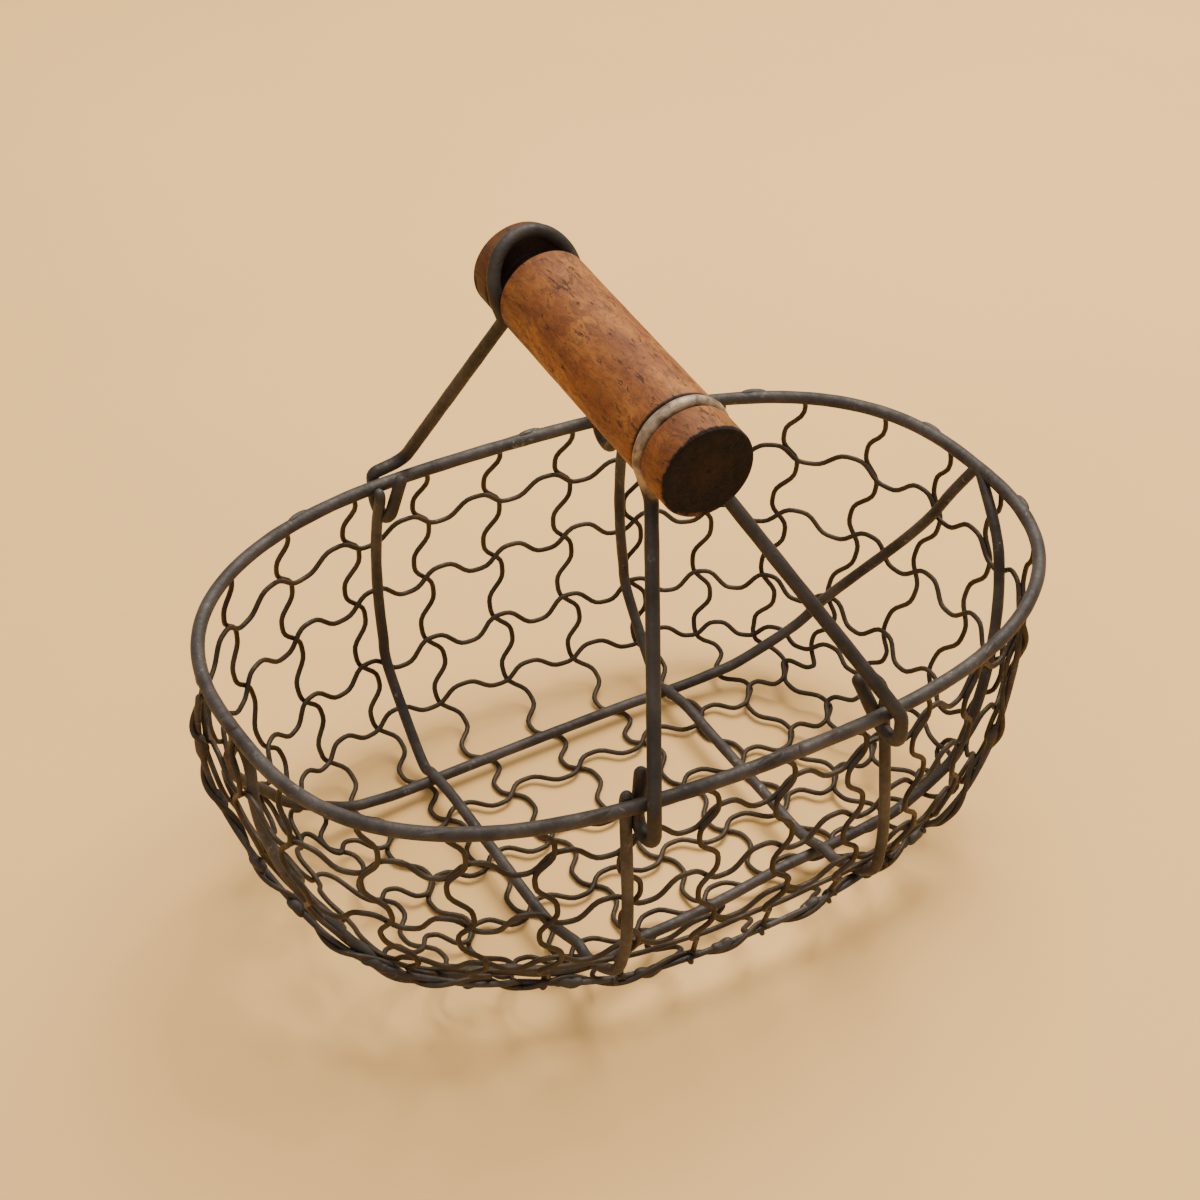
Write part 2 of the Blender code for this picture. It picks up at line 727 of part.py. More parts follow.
def make_bail(name, left_x, right_x, loop_y, front):
    """A bail: hook, leg, loop round the neck of the grip, leg and hook."""
    outward = -1 if front else 1
    ends = hook_places(left_x, right_x, front)
    left, arm = bail_foot(-left_x, ends[0].y, outward)
    right, _ = bail_foot(right_x, ends[1].y, outward)
    loop = []
    whole = math.pi + 2 * LOOP_WRAP
    for i in range(LOOP_FACETS + 1):
        angle = math.pi + LOOP_WRAP - whole * i / LOOP_FACETS
        lean = 0 if front else FAR_LOOP_LEAN * max(0, math.sin(angle))
        loop.append(Vector((GRIP_X + LOOP_RADIUS * math.cos(angle), loop_y + lean,
                            GRIP_HEIGHT + LOOP_RADIUS * math.sin(angle))))
    climb = leg(left, arm, 0 if front else BACK_LEFT_RUN, loop_y, loop[0], -1)
    fall = leg(right, arm, 0, loop_y, loop[-1], 1)
    points = climb + loop[1:-1] + fall[::-1]
    apart = [points[0]]
    for point in points[1:]:
        if (point - apart[-1]).length > GAP:
            apart.append(point)
    normals = carried_normals(apart, Vector((0, -outward, 0)))
    shape = wire_mesh(apart, normals, BAIL_RADIUS, WIRE_SIDES)
    add_piece(name, shape, "wire", (ends[0] + ends[1]) / 2)


def groove(start, length, radius):
    """Profile of a turned groove with eased edges, as pairs of radius and Y."""
    end = start + length
    return [(GRIP_RADIUS, start - GROOVE_CHAMFER), (GRIP_RADIUS - GROOVE_CHAMFER, start),
            (radius, start), (radius, end),
            (GRIP_RADIUS - GROOVE_CHAMFER, end), (GRIP_RADIUS, end + GROOVE_CHAMFER)]


def far_neck_radius():
    """Radius of the far groove, deep enough for the far loop when both bails swing to their ends."""
    front = sum(place.y for place in hook_places(FRONT_HOOK_LEFT_X, FRONT_HOOK_RIGHT_X, True))
    back = sum(place.y for place in hook_places(BACK_HOOK_X, BACK_HOOK_X, False))
    return NEAR_NECK_RADIUS - (back - front) / 2 * math.sin(BAIL_SWING)


def make_grip():
    """The turned wooden grip: knob, snug groove, body, deep groove and knob on one axis."""
    profile = [(0, NEAR_FACE_Y), (GRIP_RADIUS - GRIP_CHAMFER, NEAR_FACE_Y),
               (GRIP_RADIUS, NEAR_FACE_Y + GRIP_CHAMFER)]
    profile += groove(NEAR_FACE_Y + NEAR_KNOB_LENGTH, NEAR_GROOVE_LENGTH, NEAR_NECK_RADIUS)
    profile += groove(FAR_FACE_Y - FAR_KNOB_LENGTH - FAR_GROOVE_LENGTH, FAR_GROOVE_LENGTH,
                      far_neck_radius())
    profile += [(GRIP_RADIUS, FAR_FACE_Y - GRIP_CHAMFER), (GRIP_RADIUS - GRIP_CHAMFER, FAR_FACE_Y),
                (0, FAR_FACE_Y)]
    shape = bmesh.new()
    verts = [shape.verts.new((GRIP_X + radius, y, GRIP_HEIGHT)) for radius, y in profile]
    edges = [shape.edges.new(pair) for pair in zip(verts, verts[1:])]
    bmesh.ops.spin(shape, geom=verts + edges, cent=(GRIP_X, 0, GRIP_HEIGHT), axis=(0, 1, 0),
                   angle=2 * math.pi, steps=GRIP_FACETS, use_merge=True)
    bmesh.ops.remove_doubles(shape, verts=shape.verts, dist=GAP / 10)
    bmesh.ops.recalc_face_normals(shape, faces=shape.faces)
    add_piece("handle_grip", shape, "wood", Vector((GRIP_X, FRONT_LOOP_Y, GRIP_HEIGHT)))


def main():
    """Clear the scene and build every piece."""
    for old in list(bpy.data.objects):
        bpy.data.objects.remove(old)
    make_rim()
    make_cross_rib("cross_rib_left", -1, CROSS_RIB_LEFT_FRONT_X, CROSS_RIB_LEFT_BACK_X)
    make_cross_rib("cross_rib_right", 1, CROSS_RIB_RIGHT_FRONT_X, CROSS_RIB_RIGHT_BACK_X)
    make_long_rib("long_rib_front", 1, (LEFT_FRONT_TURN, RIGHT_FRONT_TURN),
                  (LEFT_FRONT_POWER, RIGHT_FRONT_POWER))
    make_long_rib("long_rib_back", -1, (LEFT_BACK_TURN, RIGHT_BACK_TURN),
                  (LEFT_BACK_POWER, RIGHT_BACK_POWER))
    make_seam()
    for row in range(WALL_ROWS):
        make_wall_row(row + 1, row_share(row))
    make_wall_row(WALL_ROWS + 1, 1 - (MESH_WAVE + MESH_WIRE_RADIUS) / BACK_DROP)
    for column in range(MESH_COLUMNS):
        make_wall_column(column)
    for number in range(2 * FLOOR_COLUMNS_EACH_SIDE + 1):
        make_floor_cross_wire(number + 1, number - FLOOR_COLUMNS_EACH_SIDE)
    for number in range(FLOOR_ROWS):
        make_floor_long_wire(number + 1, number - (FLOOR_ROWS - 1) / 2)
    make_bail("front_bail", FRONT_HOOK_LEFT_X, FRONT_HOOK_RIGHT_X, FRONT_LOOP_Y, True)
    make_bail("back_bail", BACK_HOOK_X, BACK_HOOK_X, BACK_LOOP_Y, False)
    make_grip()


main()
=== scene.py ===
"""Wire storage basket with a turned wooden grip, dressed for its portrait.

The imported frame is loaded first. Every wire is then drawn again as a round, finely bent wire on the
same curves, the grip is turned with its grooves and worn ends, and all get their finishes. It is laid
out as an add-on: each piece or group of like pieces has its own operator.

Places round the rim are counted in parts, from the middle of the front towards the right. Places down
the wall are shares of its depth, from the rim to the lower edge.
"""
import bisect
import json
import math

import bpy
from bpy.props import FloatProperty, FloatVectorProperty, IntProperty, PointerProperty
from bpy.types import Operator, Panel, PropertyGroup
from mathutils import Matrix, Vector, noise

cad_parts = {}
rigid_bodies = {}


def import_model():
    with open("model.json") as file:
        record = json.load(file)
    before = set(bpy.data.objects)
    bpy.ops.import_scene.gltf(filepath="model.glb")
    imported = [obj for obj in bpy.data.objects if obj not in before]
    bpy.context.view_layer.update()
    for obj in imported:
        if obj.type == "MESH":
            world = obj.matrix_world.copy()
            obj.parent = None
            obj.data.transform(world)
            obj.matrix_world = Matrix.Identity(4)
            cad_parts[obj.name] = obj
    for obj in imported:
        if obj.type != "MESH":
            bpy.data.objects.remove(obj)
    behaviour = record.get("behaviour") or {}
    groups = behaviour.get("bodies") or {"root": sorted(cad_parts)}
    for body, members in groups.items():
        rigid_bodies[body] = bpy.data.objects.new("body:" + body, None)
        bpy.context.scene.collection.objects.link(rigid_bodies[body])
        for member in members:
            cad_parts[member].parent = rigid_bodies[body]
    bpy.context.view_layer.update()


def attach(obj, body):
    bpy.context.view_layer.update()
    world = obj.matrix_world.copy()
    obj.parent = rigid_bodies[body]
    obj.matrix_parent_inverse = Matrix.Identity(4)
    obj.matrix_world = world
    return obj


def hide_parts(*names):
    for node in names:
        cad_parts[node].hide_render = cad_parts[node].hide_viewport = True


bl_info = {
    "name": "Wire Storage Basket",
    "version": (1, 0, 0),
    "blender": (4, 5, 0),
    "location": "View3D > Sidebar > Basket",
    "description": "Draws the wires, the turned grip and the stage of a wire storage basket",
    "category": "Object",
}

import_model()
MM = 0.001

# The rim and the body under it, in metres and shares
RIM_PARTS = 28
RIM_HALF_LENGTH = 127.0 * MM
RIM_HALF_WIDTH = 84.8 * MM
RIM_SQUARENESS = 2.6
RIM_NARROW_SHARE = -0.032
RIM_SWEEP_SHARE = -0.0386
RIM_SHEAR_SHARE = -0.0518
RIM_HEIGHT = 105.5 * MM
RIM_RADIUS = 2.15 * MM
FRONT_DROP = 83.1 * MM
BACK_DROP = 88.9 * MM
RIGHT_BULGE_SHARE = -0.005
LEFT_BULGE_SHARE = 0.037
RIGHT_TAPER_SHARE = 0.22
LEFT_TAPER_SHARE = 0.194
END_BLEND = 0.3
TAPER_POWER = 6
BACK_BULGE_SHARE = 0.09
FRONT_TAPER_SHARE = 0.133
LEFT_CORNER_TAPER_SHARE = 0.7
BACK_TAPER_SHARE = 0.023
BACK_SAG_SHARE = 0.07
FRONT_FLAT_SHARE = 0.3
BACK_FLAT_SHARE = 0.75
END_FLAT_SHARE = 0.6
RIB_RADIUS = 1.8 * MM
SEAM_RADIUS = 1.1 * MM
BAIL_RADIUS = 1.9 * MM
GAP = 0.3 * MM

# The crimped mesh
MESH_COLUMNS = 27
MESH_COLUMN_SHIFT = 0.12
WALL_ROWS = 3
FIRST_ROW_DROP = 23.7 * MM
MESH_ROW_PITCH = 25.3 * MM
FLOOR_ROW_PITCH = 25.2 * MM
FLOOR_ROWS = 4
RIGHT_PANEL_PARTS = 3.3
LEFT_PANEL_PARTS = 4.4
PANEL_TURN_PARTS = 1.8
FLOOR_COLUMNS = 4
RIGHT_END_COLUMNS = (5, 6, 7, 8)
LEFT_END_COLUMNS = (22, 21, 19, 18)
LOOSE_END_COLUMN = 20
BACK_COLUMN_SHIFT = 0.13
BACK_COLUMN_START = RIM_PARTS / 4
BACK_COLUMN_TURN = 4.0
LACED_PARTS = 6.0
LACED_TURN_PARTS = 2.0
LACED_DRAW_SHARE = 0.28
LACED_TOP_SHARE = 0.55
LACED_DEPTH_SHARE = 0.4
HEM_BACK_RISE = 0.5
HEM_LACED_RISE = 0.6
HEM_LACED_DRAW = 0.4
MESH_RADIUS = 0.85 * MM
MESH_LAYER = 0.78 * MM
CRIMP = 3.4 * MM
CREST_SHARE = 0.1
PHASE_PLAY = 0.04
CRIMP_PLAY = 0.12
ROW_MARGIN = 7.0 * MM
COLUMN_MARGIN = 8.0 * MM
BORDER_CELLS_TO_PITCH = 1.2
ROW_PHASES = (0.0, 0.5, 0.25, 0.5)
ROW_SHARES = (0.267, 0.551, 0.836, 0.96)
LAST_ROW_CRIMP_SHARE = 0.7
LAST_ROW_LACED_SHARE = 0.35
TOP_TURN_SHARE = 0.13
CAD_OUTSIDE = 1.686 * MM
FRAME_FLOOR_HEIGHT = 1.423 * MM
MESH_FLOOR_HEIGHT = MESH_LAYER + MESH_RADIUS
RIB_INSET = RIM_RADIUS + GAP + RIB_RADIUS
RIB_CLEAR = CAD_OUTSIDE + GAP + RIB_RADIUS
CROSS_RIB_LIFT = RIB_CLEAR + 2 * RIB_RADIUS + GAP
EDGE_STEP = (RIB_RADIUS + GAP + SEAM_RADIUS) * math.cos(math.pi / 4) + 4 * GAP
SLOPE_STEP = 1.5 * MM

# Ends of mesh wires wound round the seam: first and last angle, and how far they drift along it
HUNG_CURL = (225, 15, 3.0 * MM)
FRONT_CURL = (160, 420, -3.0 * MM)
CURL_CLOSE = 0.55
FRONT_SEED = 20
END_SEED = 40
LOOSE_SEED = 50

# The cross ribs: tops at the front and the back, then values for the front (True) and the back (False)
CROSS_RIB_X = 44.4 * MM
CROSS_RIB_TOPS = {"left": (-45.4 * MM, -43.6 * MM), "right": (38.6 * MM, 42.8 * MM)}
CROSS_RIB_TOP_TURN = 0.35
CROSS_RIB_TOP_LIFTS = {True: 1.15, False: 0.3}
CROSS_RIB_WALL_SHARES = {True: 0.94, False: 0.84}
CROSS_RIB_RISE_SHARES = {True: 0.72, False: 0.48}
CROSS_RIB_FLOOR_SHARES = {True: (0.88, 0.76, 0.62, 0.45, 0.22), False: (0.78, 0.66, 0.50, 0.26)}

# The lengthwise ribs, with turns and powers for the left and the right end, and bows of the front one
LONG_RIB_FLOOR_Y = {"front": -48.5 * MM, "back": 53.5 * MM}
LONG_RIB_WALL_SHARE = 0.95
LONG_RIB_EDGE_SHARE = 0.93
RIGHT_RIB_PLACE = 6.8
LEFT_RIB_PLACE = 7.2
LONG_RIB_TURNS = {"front": (2.0, 2.0), "back": (2.3, 2.2)}
LONG_RIB_POWERS = {"front": (2.0, 0.5), "back": (1.1, 1.3)}
LONG_RIB_TOP_LIFT = 0.55
FRONT_RIB_BOWS = ((-60 * MM, 45 * MM, -10.0 * MM), (38 * MM, 52 * MM, 5.5 * MM))
FRONT_RIB_CORNER_BULGE = 3.0 * MM

# The border and the seam. Each bend of the border: place, reach and height
BORDER_BENDS = ((-0.7, 3.1, -3.6 * MM), (3.8, 1.2, 1.0 * MM))
BEND_CREST_SHARE = 0.4
SEAM_RIGHT_PLACE = 4.2
SEAM_LEFT_PLACE = 8.0
SEAM_RIGHT_BEND = 6.0
SEAM_LEFT_BEND = 3.5
SEAM_FOOT_PLACE = 3.3
SEAM_LAND_SHARE = 0.85

# How hand-bent wire wanders: waves to a metre, and where the noise is read for X, Y and Z
WANDER_SCALE = 22
WANDER_OFFSETS = (Vector((0, 0, 0)), Vector((0, 40, 0)), Vector((0, 0, 40)))

# The grip
GRIP_RADIUS = 14.4 * MM
GRIP_X = -5.5 * MM
GRIP_HEIGHT = RIM_HEIGHT + 81.7 * MM
NEAR_FACE_Y = -54.0 * MM
FAR_FACE_Y = 58.5 * MM
GRIP_CHAMFER = 1.0 * MM
GRIP_DENT = 0.15 * MM
NECK_EASE = 0.6 * MM
NEAR_GROOVE = (-42.0 * MM, -37.2 * MM, 10.55 * MM)
FAR_GROOVE = (41.3 * MM, 49.6 * MM, 8.6 * MM)
GRIP_RISE = math.radians(2.05)
GRIP_SWERVE = math.radians(1.05)

# The bails
LOOP_WRAP = math.radians(20)
PINCH_BEND_RADIUS = 4.0 * MM
NEAR_LOOP_CENTRE = (GRIP_X, -39.6 * MM, GRIP_HEIGHT)
NEAR_LOOP_RADIUS = 13.2 * MM
NEAR_PINCH_HALF_WIDTH = 9.5 * MM
NEAR_PINCH_DROP = 14.8 * MM
FAR_LOOP_CENTRE = (GRIP_X + 0.45 * MM, 43.6 * MM, GRIP_HEIGHT + 5.9 * MM)
FAR_LOOP_RADIUS = 13.3 * MM
FAR_LOOP_LEAN = 6.5 * MM
FAR_PINCH_HALF_WIDTH = FAR_LOOP_RADIUS - 2.6 * MM
FAR_PINCH_DROP = 10.0 * MM

# Hooks, left and right: X, drop under the rim and the step of the tip from the rim
FRONT_HOOKS = ((-41.8 * MM, 7.5 * MM, (2.0 * MM, 0.5 * MM, 8.5 * MM)),
               (38.0 * MM, 5.0 * MM, (-6.0 * MM, 5.0 * MM, 8.5 * MM)))
BACK_HOOKS = ((-41.5 * MM, 6.5 * MM, (5.5 * MM, -1.0 * MM, 5.5 * MM)),
              (38.0 * MM, 5.0 * MM, (0.0, 0.0, 9.0 * MM)))
HOOK_PLAY = 0.9 * MM
HOOK_SHOULDER = 1.5 * MM
LEG_BEND_RADIUS = 6.0 * MM
BACK_LEFT_RUN = 11.0 * MM
BACK_LEFT_RISE = 1.5 * MM

# Bails: side, loop's centre, radius and lean, pinch's half width and drop, hooks, run of the left leg
BAILS = {
    "front_bail": (-1, NEAR_LOOP_CENTRE, NEAR_LOOP_RADIUS, 0, NEAR_PINCH_HALF_WIDTH, NEAR_PINCH_DROP,
                   FRONT_HOOKS, 0),
    "back_bail": (1, FAR_LOOP_CENTRE, FAR_LOOP_RADIUS, FAR_LOOP_LEAN, FAR_PINCH_HALF_WIDTH, FAR_PINCH_DROP,
                  BACK_HOOKS, BACK_LEFT_RUN),
}
BAIL_SEED = 21

# Hammered ends on the rim: place round it, angle from level, and length and height in millimetres
RIM_LUMPS = ((16.55, 55, 9.0, 0.7), (13.25, 60, 9.0, 0.8), (10.2, 60, 9.0, 0.8), (7.75, 45, 8.0, 0.7),
             (5.9, 20, 7.0, 0.9), (20.75, 70, 7.0, 0.9), (27.66, 60, 10.0, 0.6), (0.36, 50, 11.0, 0.8),
             (25.55, 60, 12.0, 0.6), (2.9, 60, 7.0, 0.5), (23.8, 40, 8.0, 0.5))
LUMP_DEPTH = 0.5 * MM
LUMP_TWIST = 25

# The rim's lap: first and last place round it, angle from level and height in millimetres
RIM_LAP = (0.02, 0.62, 35, 1.1)

# Knots on the seam: shares of its length
SEAM_KNOTS = (0.134, 0.25, 0.30, 0.36, 0.443, 0.505, 0.567, 0.727, 0.802, 0.845, 0.90, 0.95)
KNOT_LENGTH = 9.0 * MM
KNOT_SWELL = 0.75 * MM
KNOT_TIP_RADIUS = 0.4 * MM
KNOT_TWIST = 0.5 * MM

# Irons: dark, light, scuffed and rusty colours, roughness and share of scuffs
IRONS = {
    "black_iron": ((0.032, 0.027, 0.024), (0.090, 0.077, 0.067), (0.28, 0.25, 0.22),
                   (0.060, 0.040, 0.026), 0.52, 1.0),
    "mesh_iron": ((0.026, 0.019, 0.012), (0.066, 0.048, 0.031), (0.17, 0.14, 0.11),
                  (0.078, 0.046, 0.024), 0.46, 0.35),
    "worn_iron": ((0.026, 0.022, 0.019), (0.064, 0.054, 0.046), (0.22, 0.195, 0.17),
                  (0.050, 0.030, 0.018), 0.50, 1.0),
}
BARE_IRON = (0.43, 0.325, 0.22)
BARE_SHADE = (0.13, 0.092, 0.062)
BARE_REACH = (15.4 * MM, 17.5 * MM)
BARE_Y = (-33.0 * MM, -30.0 * MM)

# The grip's wood, and where the darkening at its ends begins and is full
# Colour that both ends of the grip are darkened towards
WOOD_END_DARKENING = (0.050, 0.015, 0.004)
WOOD_DARK = (0.190, 0.055, 0.010)
WOOD_LIGHT = (0.360, 0.120, 0.018)
WOOD_GOLD = (0.470, 0.190, 0.036)
WOOD_STREAK = (0.105, 0.032, 0.008)
WOOD_RED = (0.150, 0.026, 0.006)
WOOD_PORE = (0.022, 0.008, 0.003)
WOOD_SCRATCH = (0.560, 0.300, 0.110)
END_DARK = (0.0045, 0.0016, 0.0007)
END_BROWN = (0.020, 0.0065, 0.0022)
END_CENTRE = (0.040, 0.013, 0.004)
# Painted shade for the hole of the lathe's pin
PIN_HOLE_SHADE = (0.002, 0.001, 0.001)
END_DARKENING_PLAY = 22.0 * MM
FAR_DARKENING_Y = (16.0 * MM, 46.0 * MM)
NEAR_DARKENING_Y = (-52.0 * MM, -28.0 * MM)
FACE_PLAY = 3.0 * MM

# The camera, as the fit of the rim's outline gives it
VIEW_AZIMUTH = -0.517827
VIEW_ELEVATION = 0.688439
VIEW_ROLL = -0.008548
VIEW_DISTANCE = 788.4 * MM
VIEW_LENS = 78.68
VIEW_SHIFT = (-0.02342, -0.00726)

# The lights: the place and side of each lamp, and the colours of the lamps and the room
KEY_LIGHT = ((0.55, 0.35, 1.30), 0.9)
FILL_LIGHT = ((-1.1, -0.7, 0.9), 1.2)
LAMP_COLOUR = (1.0, 0.96, 0.90)
ROOM_COLOUR = (1.0, 0.93, 0.83, 1)


# Curves of the body

def power(value, exponent):
    """Signed power, for the rounded oval."""
    return math.copysign(abs(value) ** exponent, value)


def ease(value):
    """Smooth step from 0 to 1."""
    value = min(1.0, max(0.0, value))
    return value * value * (3 - 2 * value)


def oval(angle):
    """Point of the rim's rounded oval at an angle, as shares of its half sizes."""
    exponent = 2 / RIM_SQUARENESS
    return power(math.sin(angle), exponent), -power(math.cos(angle), exponent)


def rim_plan(angle, inset):
    """X and Y of the rim's oval at an angle, drawn in by an inset."""
    x_share, y_share = oval(angle)
    length, width = RIM_HALF_LENGTH - inset, RIM_HALF_WIDTH - inset
    straight = y_share * width
    y = straight * (1 + RIM_NARROW_SHARE * x_share)
    y += RIM_SWEEP_SHARE * x_share * (1 - x_share ** 2) * length
    return x_share * length + RIM_SHEAR_SHARE * straight, y


def length_table():
    """Angles and the lengths run so far round the rim, from the middle of the front."""
    fine = 2048
    angles = [2 * math.pi * i / fine for i in range(fine + 1)]
    lengths = [0.0]
    last = rim_plan(0.0, 0)
    for angle in angles[1:]:
        here = rim_plan(angle, 0)
        lengths.append(lengths[-1] + math.hypot(here[0] - last[0], here[1] - last[1]))
        last = here
    return angles, lengths


ANGLES, LENGTHS = length_table()


def angle_at(along):
    """Angle of the rim's oval at a place along it."""
    wanted = (along / RIM_PARTS) % 1 * LENGTHS[-1]
    place = bisect.bisect_right(LENGTHS, wanted, 1, len(LENGTHS) - 1)
    share = (wanted - LENGTHS[place - 1]) / (LENGTHS[place] - LENGTHS[place - 1])
    return ANGLES[place - 1] + share * (ANGLES[place] - ANGLES[place - 1])


def rim(along):
    """Centre of the rim wire at a place along it."""
    x, y = rim_plan(angle_at(along), 0)
    return Vector((x, y, RIM_HEIGHT))


def body(along, depth_share):
    """Point of the surface that the ribs' centres lie on. Share 0 is the rim, 1 the lower edge."""
    angle = angle_at(along)
    x_share, y_share = oval(angle)
    x, y = rim_plan(angle, RIB_INSET)
    hump = 4 * depth_share * (1 - depth_share)
    right = ease((x_share + END_BLEND) / (2 * END_BLEND))
    bulge = LEFT_BULGE_SHARE + (RIGHT_BULGE_SHARE - LEFT_BULGE_SHARE) * right
    taper = LEFT_TAPER_SHARE + (RIGHT_TAPER_SHARE - LEFT_TAPER_SHARE) * right
    x += power(x_share, 3) * RIM_HALF_LENGTH * (bulge * hump - taper * depth_share ** 2)
    back = (1 + y_share) / 2
    taper = FRONT_TAPER_SHARE + (BACK_TAPER_SHARE - FRONT_TAPER_SHARE) * back
    left = max(0.0, -x_share)
    taper += LEFT_CORNER_TAPER_SHARE * left ** 3 * (1 - left ** 2) * (1 - back)
    y *= 1 + BACK_BULGE_SHARE * back * hump - taper * depth_share ** TAPER_POWER
    drop = FRONT_DROP + (BACK_DROP - FRONT_DROP) * back
    return Vector((x, y, RIM_HEIGHT - drop * depth_share))


def frame_of(surface, along, depth_share):
    """Point of a wall, direction along its rows, direction down it and outward normal."""
    step = 0.01
    across = (surface(along + step, depth_share) - surface(along - step, depth_share)).normalized()
    down = (surface(along, depth_share + step) - surface(along, depth_share - step)).normalized()
    return surface(along, depth_share), across, down, across.cross(-down).normalized()


def from_front(along):
    """Parts from the middle of the front to a place, over 0 to the right and under 0 to the left."""
    half = RIM_PARTS / 2
    return (along + half) % RIM_PARTS - half


def outside(along):
    """1 where the mesh lies outside the ribs, -1 on the front panel, which lies inside them."""
    away = from_front(along)
    reach = RIGHT_PANEL_PARTS if away > 0 else LEFT_PANEL_PARTS
    return 2 * ease((abs(away) - reach) / PANEL_TURN_PARTS) - 1


def border_bend(along):
    """How far the border is bent up from its even height."""
    lift = 0.0
    for place, reach, height in BORDER_BENDS:
        share = abs(from_front(along - place)) / reach
        lift += height * (1 - ease((share - BEND_CREST_SHARE) / (1 - BEND_CREST_SHARE)))
    return lift


def laced(along):
    """1 at the front and its corners, where the mesh is drawn close to the frame, else 0."""
    return 1 - ease((abs(from_front(along)) - LACED_PARTS) / LACED_TURN_PARTS)


def wall(along, depth_share):
    """Point of the mesh wall between its two layers of wire."""
    place, _, _, normal = frame_of(body, along, depth_share)
    close = 1 - LACED_DRAW_SHARE * laced(along) * ease((depth_share - LACED_TOP_SHARE) / LACED_DEPTH_SHARE)
    return place + normal * RIB_CLEAR * outside(along) * close


def back_half(along):
    """0 on the front half, rising to 1 at the middle of the back."""
    return ease(oval(angle_at(along))[1])


def hem_share(along):
    """Depth share that the mesh reaches: it hangs a little under the ribs at the back."""
    return 1 + BACK_SAG_SHARE * back_half(along)


def under_wall(along, depth_share, step, drop):
    """Point under the wall: a step out on the mesh's side of the ribs, and dropped."""
    place, _, _, normal = frame_of(body, along, depth_share)
    level = Vector((normal.x, normal.y, 0)).normalized()
    return place + level * step * outside(along) + Vector((0, 0, border_bend(along) - drop))


def edge(along):
    """Point of the frame's border: under the ribs in front, outside them elsewhere."""
    return under_wall(along, 1, EDGE_STEP, EDGE_STEP)


def hem(along):
    """Point where the mesh turns from the wall to the floor."""
    step = EDGE_STEP * (1 - HEM_LACED_DRAW * laced(along))
    drop = EDGE_STEP * (1 - HEM_BACK_RISE * back_half(along) - HEM_LACED_RISE * laced(along))
    return under_wall(along, hem_share(along), step, drop)


class Bed:
    """A floor inside a border: flat in the middle, raised to the border."""

    def __init__(self, line, height):
        self.height = height
        self.rows = []
        steps = 12
        for i in range(RIM_PARTS * steps):
            place = line(i / steps)
            self.rows.append((math.atan2(place.y, place.x), math.hypot(place.x, place.y), place.z))
        self.rows.sort()
        first, last = self.rows[0], self.rows[-1]
        self.rows.insert(0, (last[0] - 2 * math.pi, last[1], last[2]))
        self.rows.append((first[0] + 2 * math.pi, first[1], first[2]))
        self.angles = [row[0] for row in self.rows]

    def at(self, x, y):
        """Point of the floor."""
        angle = math.atan2(y, x)
        place = bisect.bisect_right(self.angles, angle, 1, len(self.rows) - 1)
        before, after = self.rows[place - 1], self.rows[place]
        share = (angle - before[0]) / (after[0] - before[0])
        reach = before[1] + share * (after[1] - before[1])
        height = before[2] + share * (after[2] - before[2])
        slant = math.sin(angle)
        side = BACK_FLAT_SHARE if slant > 0 else FRONT_FLAT_SHARE
        flat = END_FLAT_SHARE + (side - END_FLAT_SHARE) * slant ** 2
        out = max(0.0, (math.hypot(x, y) / reach - flat) / (1 - flat))
        return Vector((x, y, self.height + (height - self.height) * out ** 2))

    def up(self, x, y):
        """Upward normal of the floor."""
        along = self.at(x + SLOPE_STEP, y) - self.at(x - SLOPE_STEP, y)
        across = self.at(x, y + SLOPE_STEP) - self.at(x, y - SLOPE_STEP)
        return along.cross(across).normalized()

    def above(self, x, y, lift):
        """Point at a height over the floor, square to it."""
        return self.at(x, y) + self.up(x, y) * lift


FRAME_BED = Bed(edge, FRAME_FLOOR_HEIGHT)
MESH_BED = Bed(hem, MESH_FLOOR_HEIGHT)


def place_at_x(surface, x, front):
    """Place along the rim where a line round the basket passes a given X on the front or back."""
    quarter = RIM_PARTS / 4
    low, high = (-quarter, quarter) if front else (3 * quarter, quarter)
    halvings = 40
    for _ in range(halvings):
        middle = (low + high) / 2
        if surface(middle).x < x:
            low = middle
        else:
            high = middle
    return low


def smooth(points, per_span):
    """Points of a smooth curve through the given ones."""
    ends = [2 * points[0] - points[1]] + points + [2 * points[-1] - points[-2]]
    out = []
    for a, b, c, d in zip(ends, ends[1:], ends[2:], ends[3:]):
        for i in range(per_span):
            t = i / per_span
            out.append(0.5 * (2 * b + (c - a) * t + (2 * a - 5 * b + 4 * c - d) * t ** 2
                              + (3 * b - a - 3 * c + d) * t ** 3))
    out.append(points[-1])
    return out


def rounded(points, radii, step=math.radians(8)):
    """A run of straight stretches with an arc of the given radius at each inner corner."""
    out = [points[0]]
    for before, corner, after, radius in zip(points, points[1:], points[2:], radii):
        to_before = (before - corner).normalized()
        to_after = (after - corner).normalized()
        half = to_before.angle(to_after) / 2
        setback = radius / math.tan(half)
        centre = corner + (to_before + to_after).normalized() * (radius / math.sin(half))
        first = corner + to_before * setback - centre
        last = corner + to_after * setback - centre
        turn = first.angle(last)
        count = max(2, math.ceil(turn / step))
        for i in range(count + 1):
            t = i / count
            out.append(centre + (first * math.sin((1 - t) * turn) + last * math.sin(t * turn))
                       / math.sin(turn))
    out.append(points[-1])
    return out


def run_lengths(points):
    """Length run so far at each point of a line."""
    lengths = [0.0]
    for a, b in zip(points, points[1:]):
        lengths.append(lengths[-1] + (b - a).length)
    return lengths


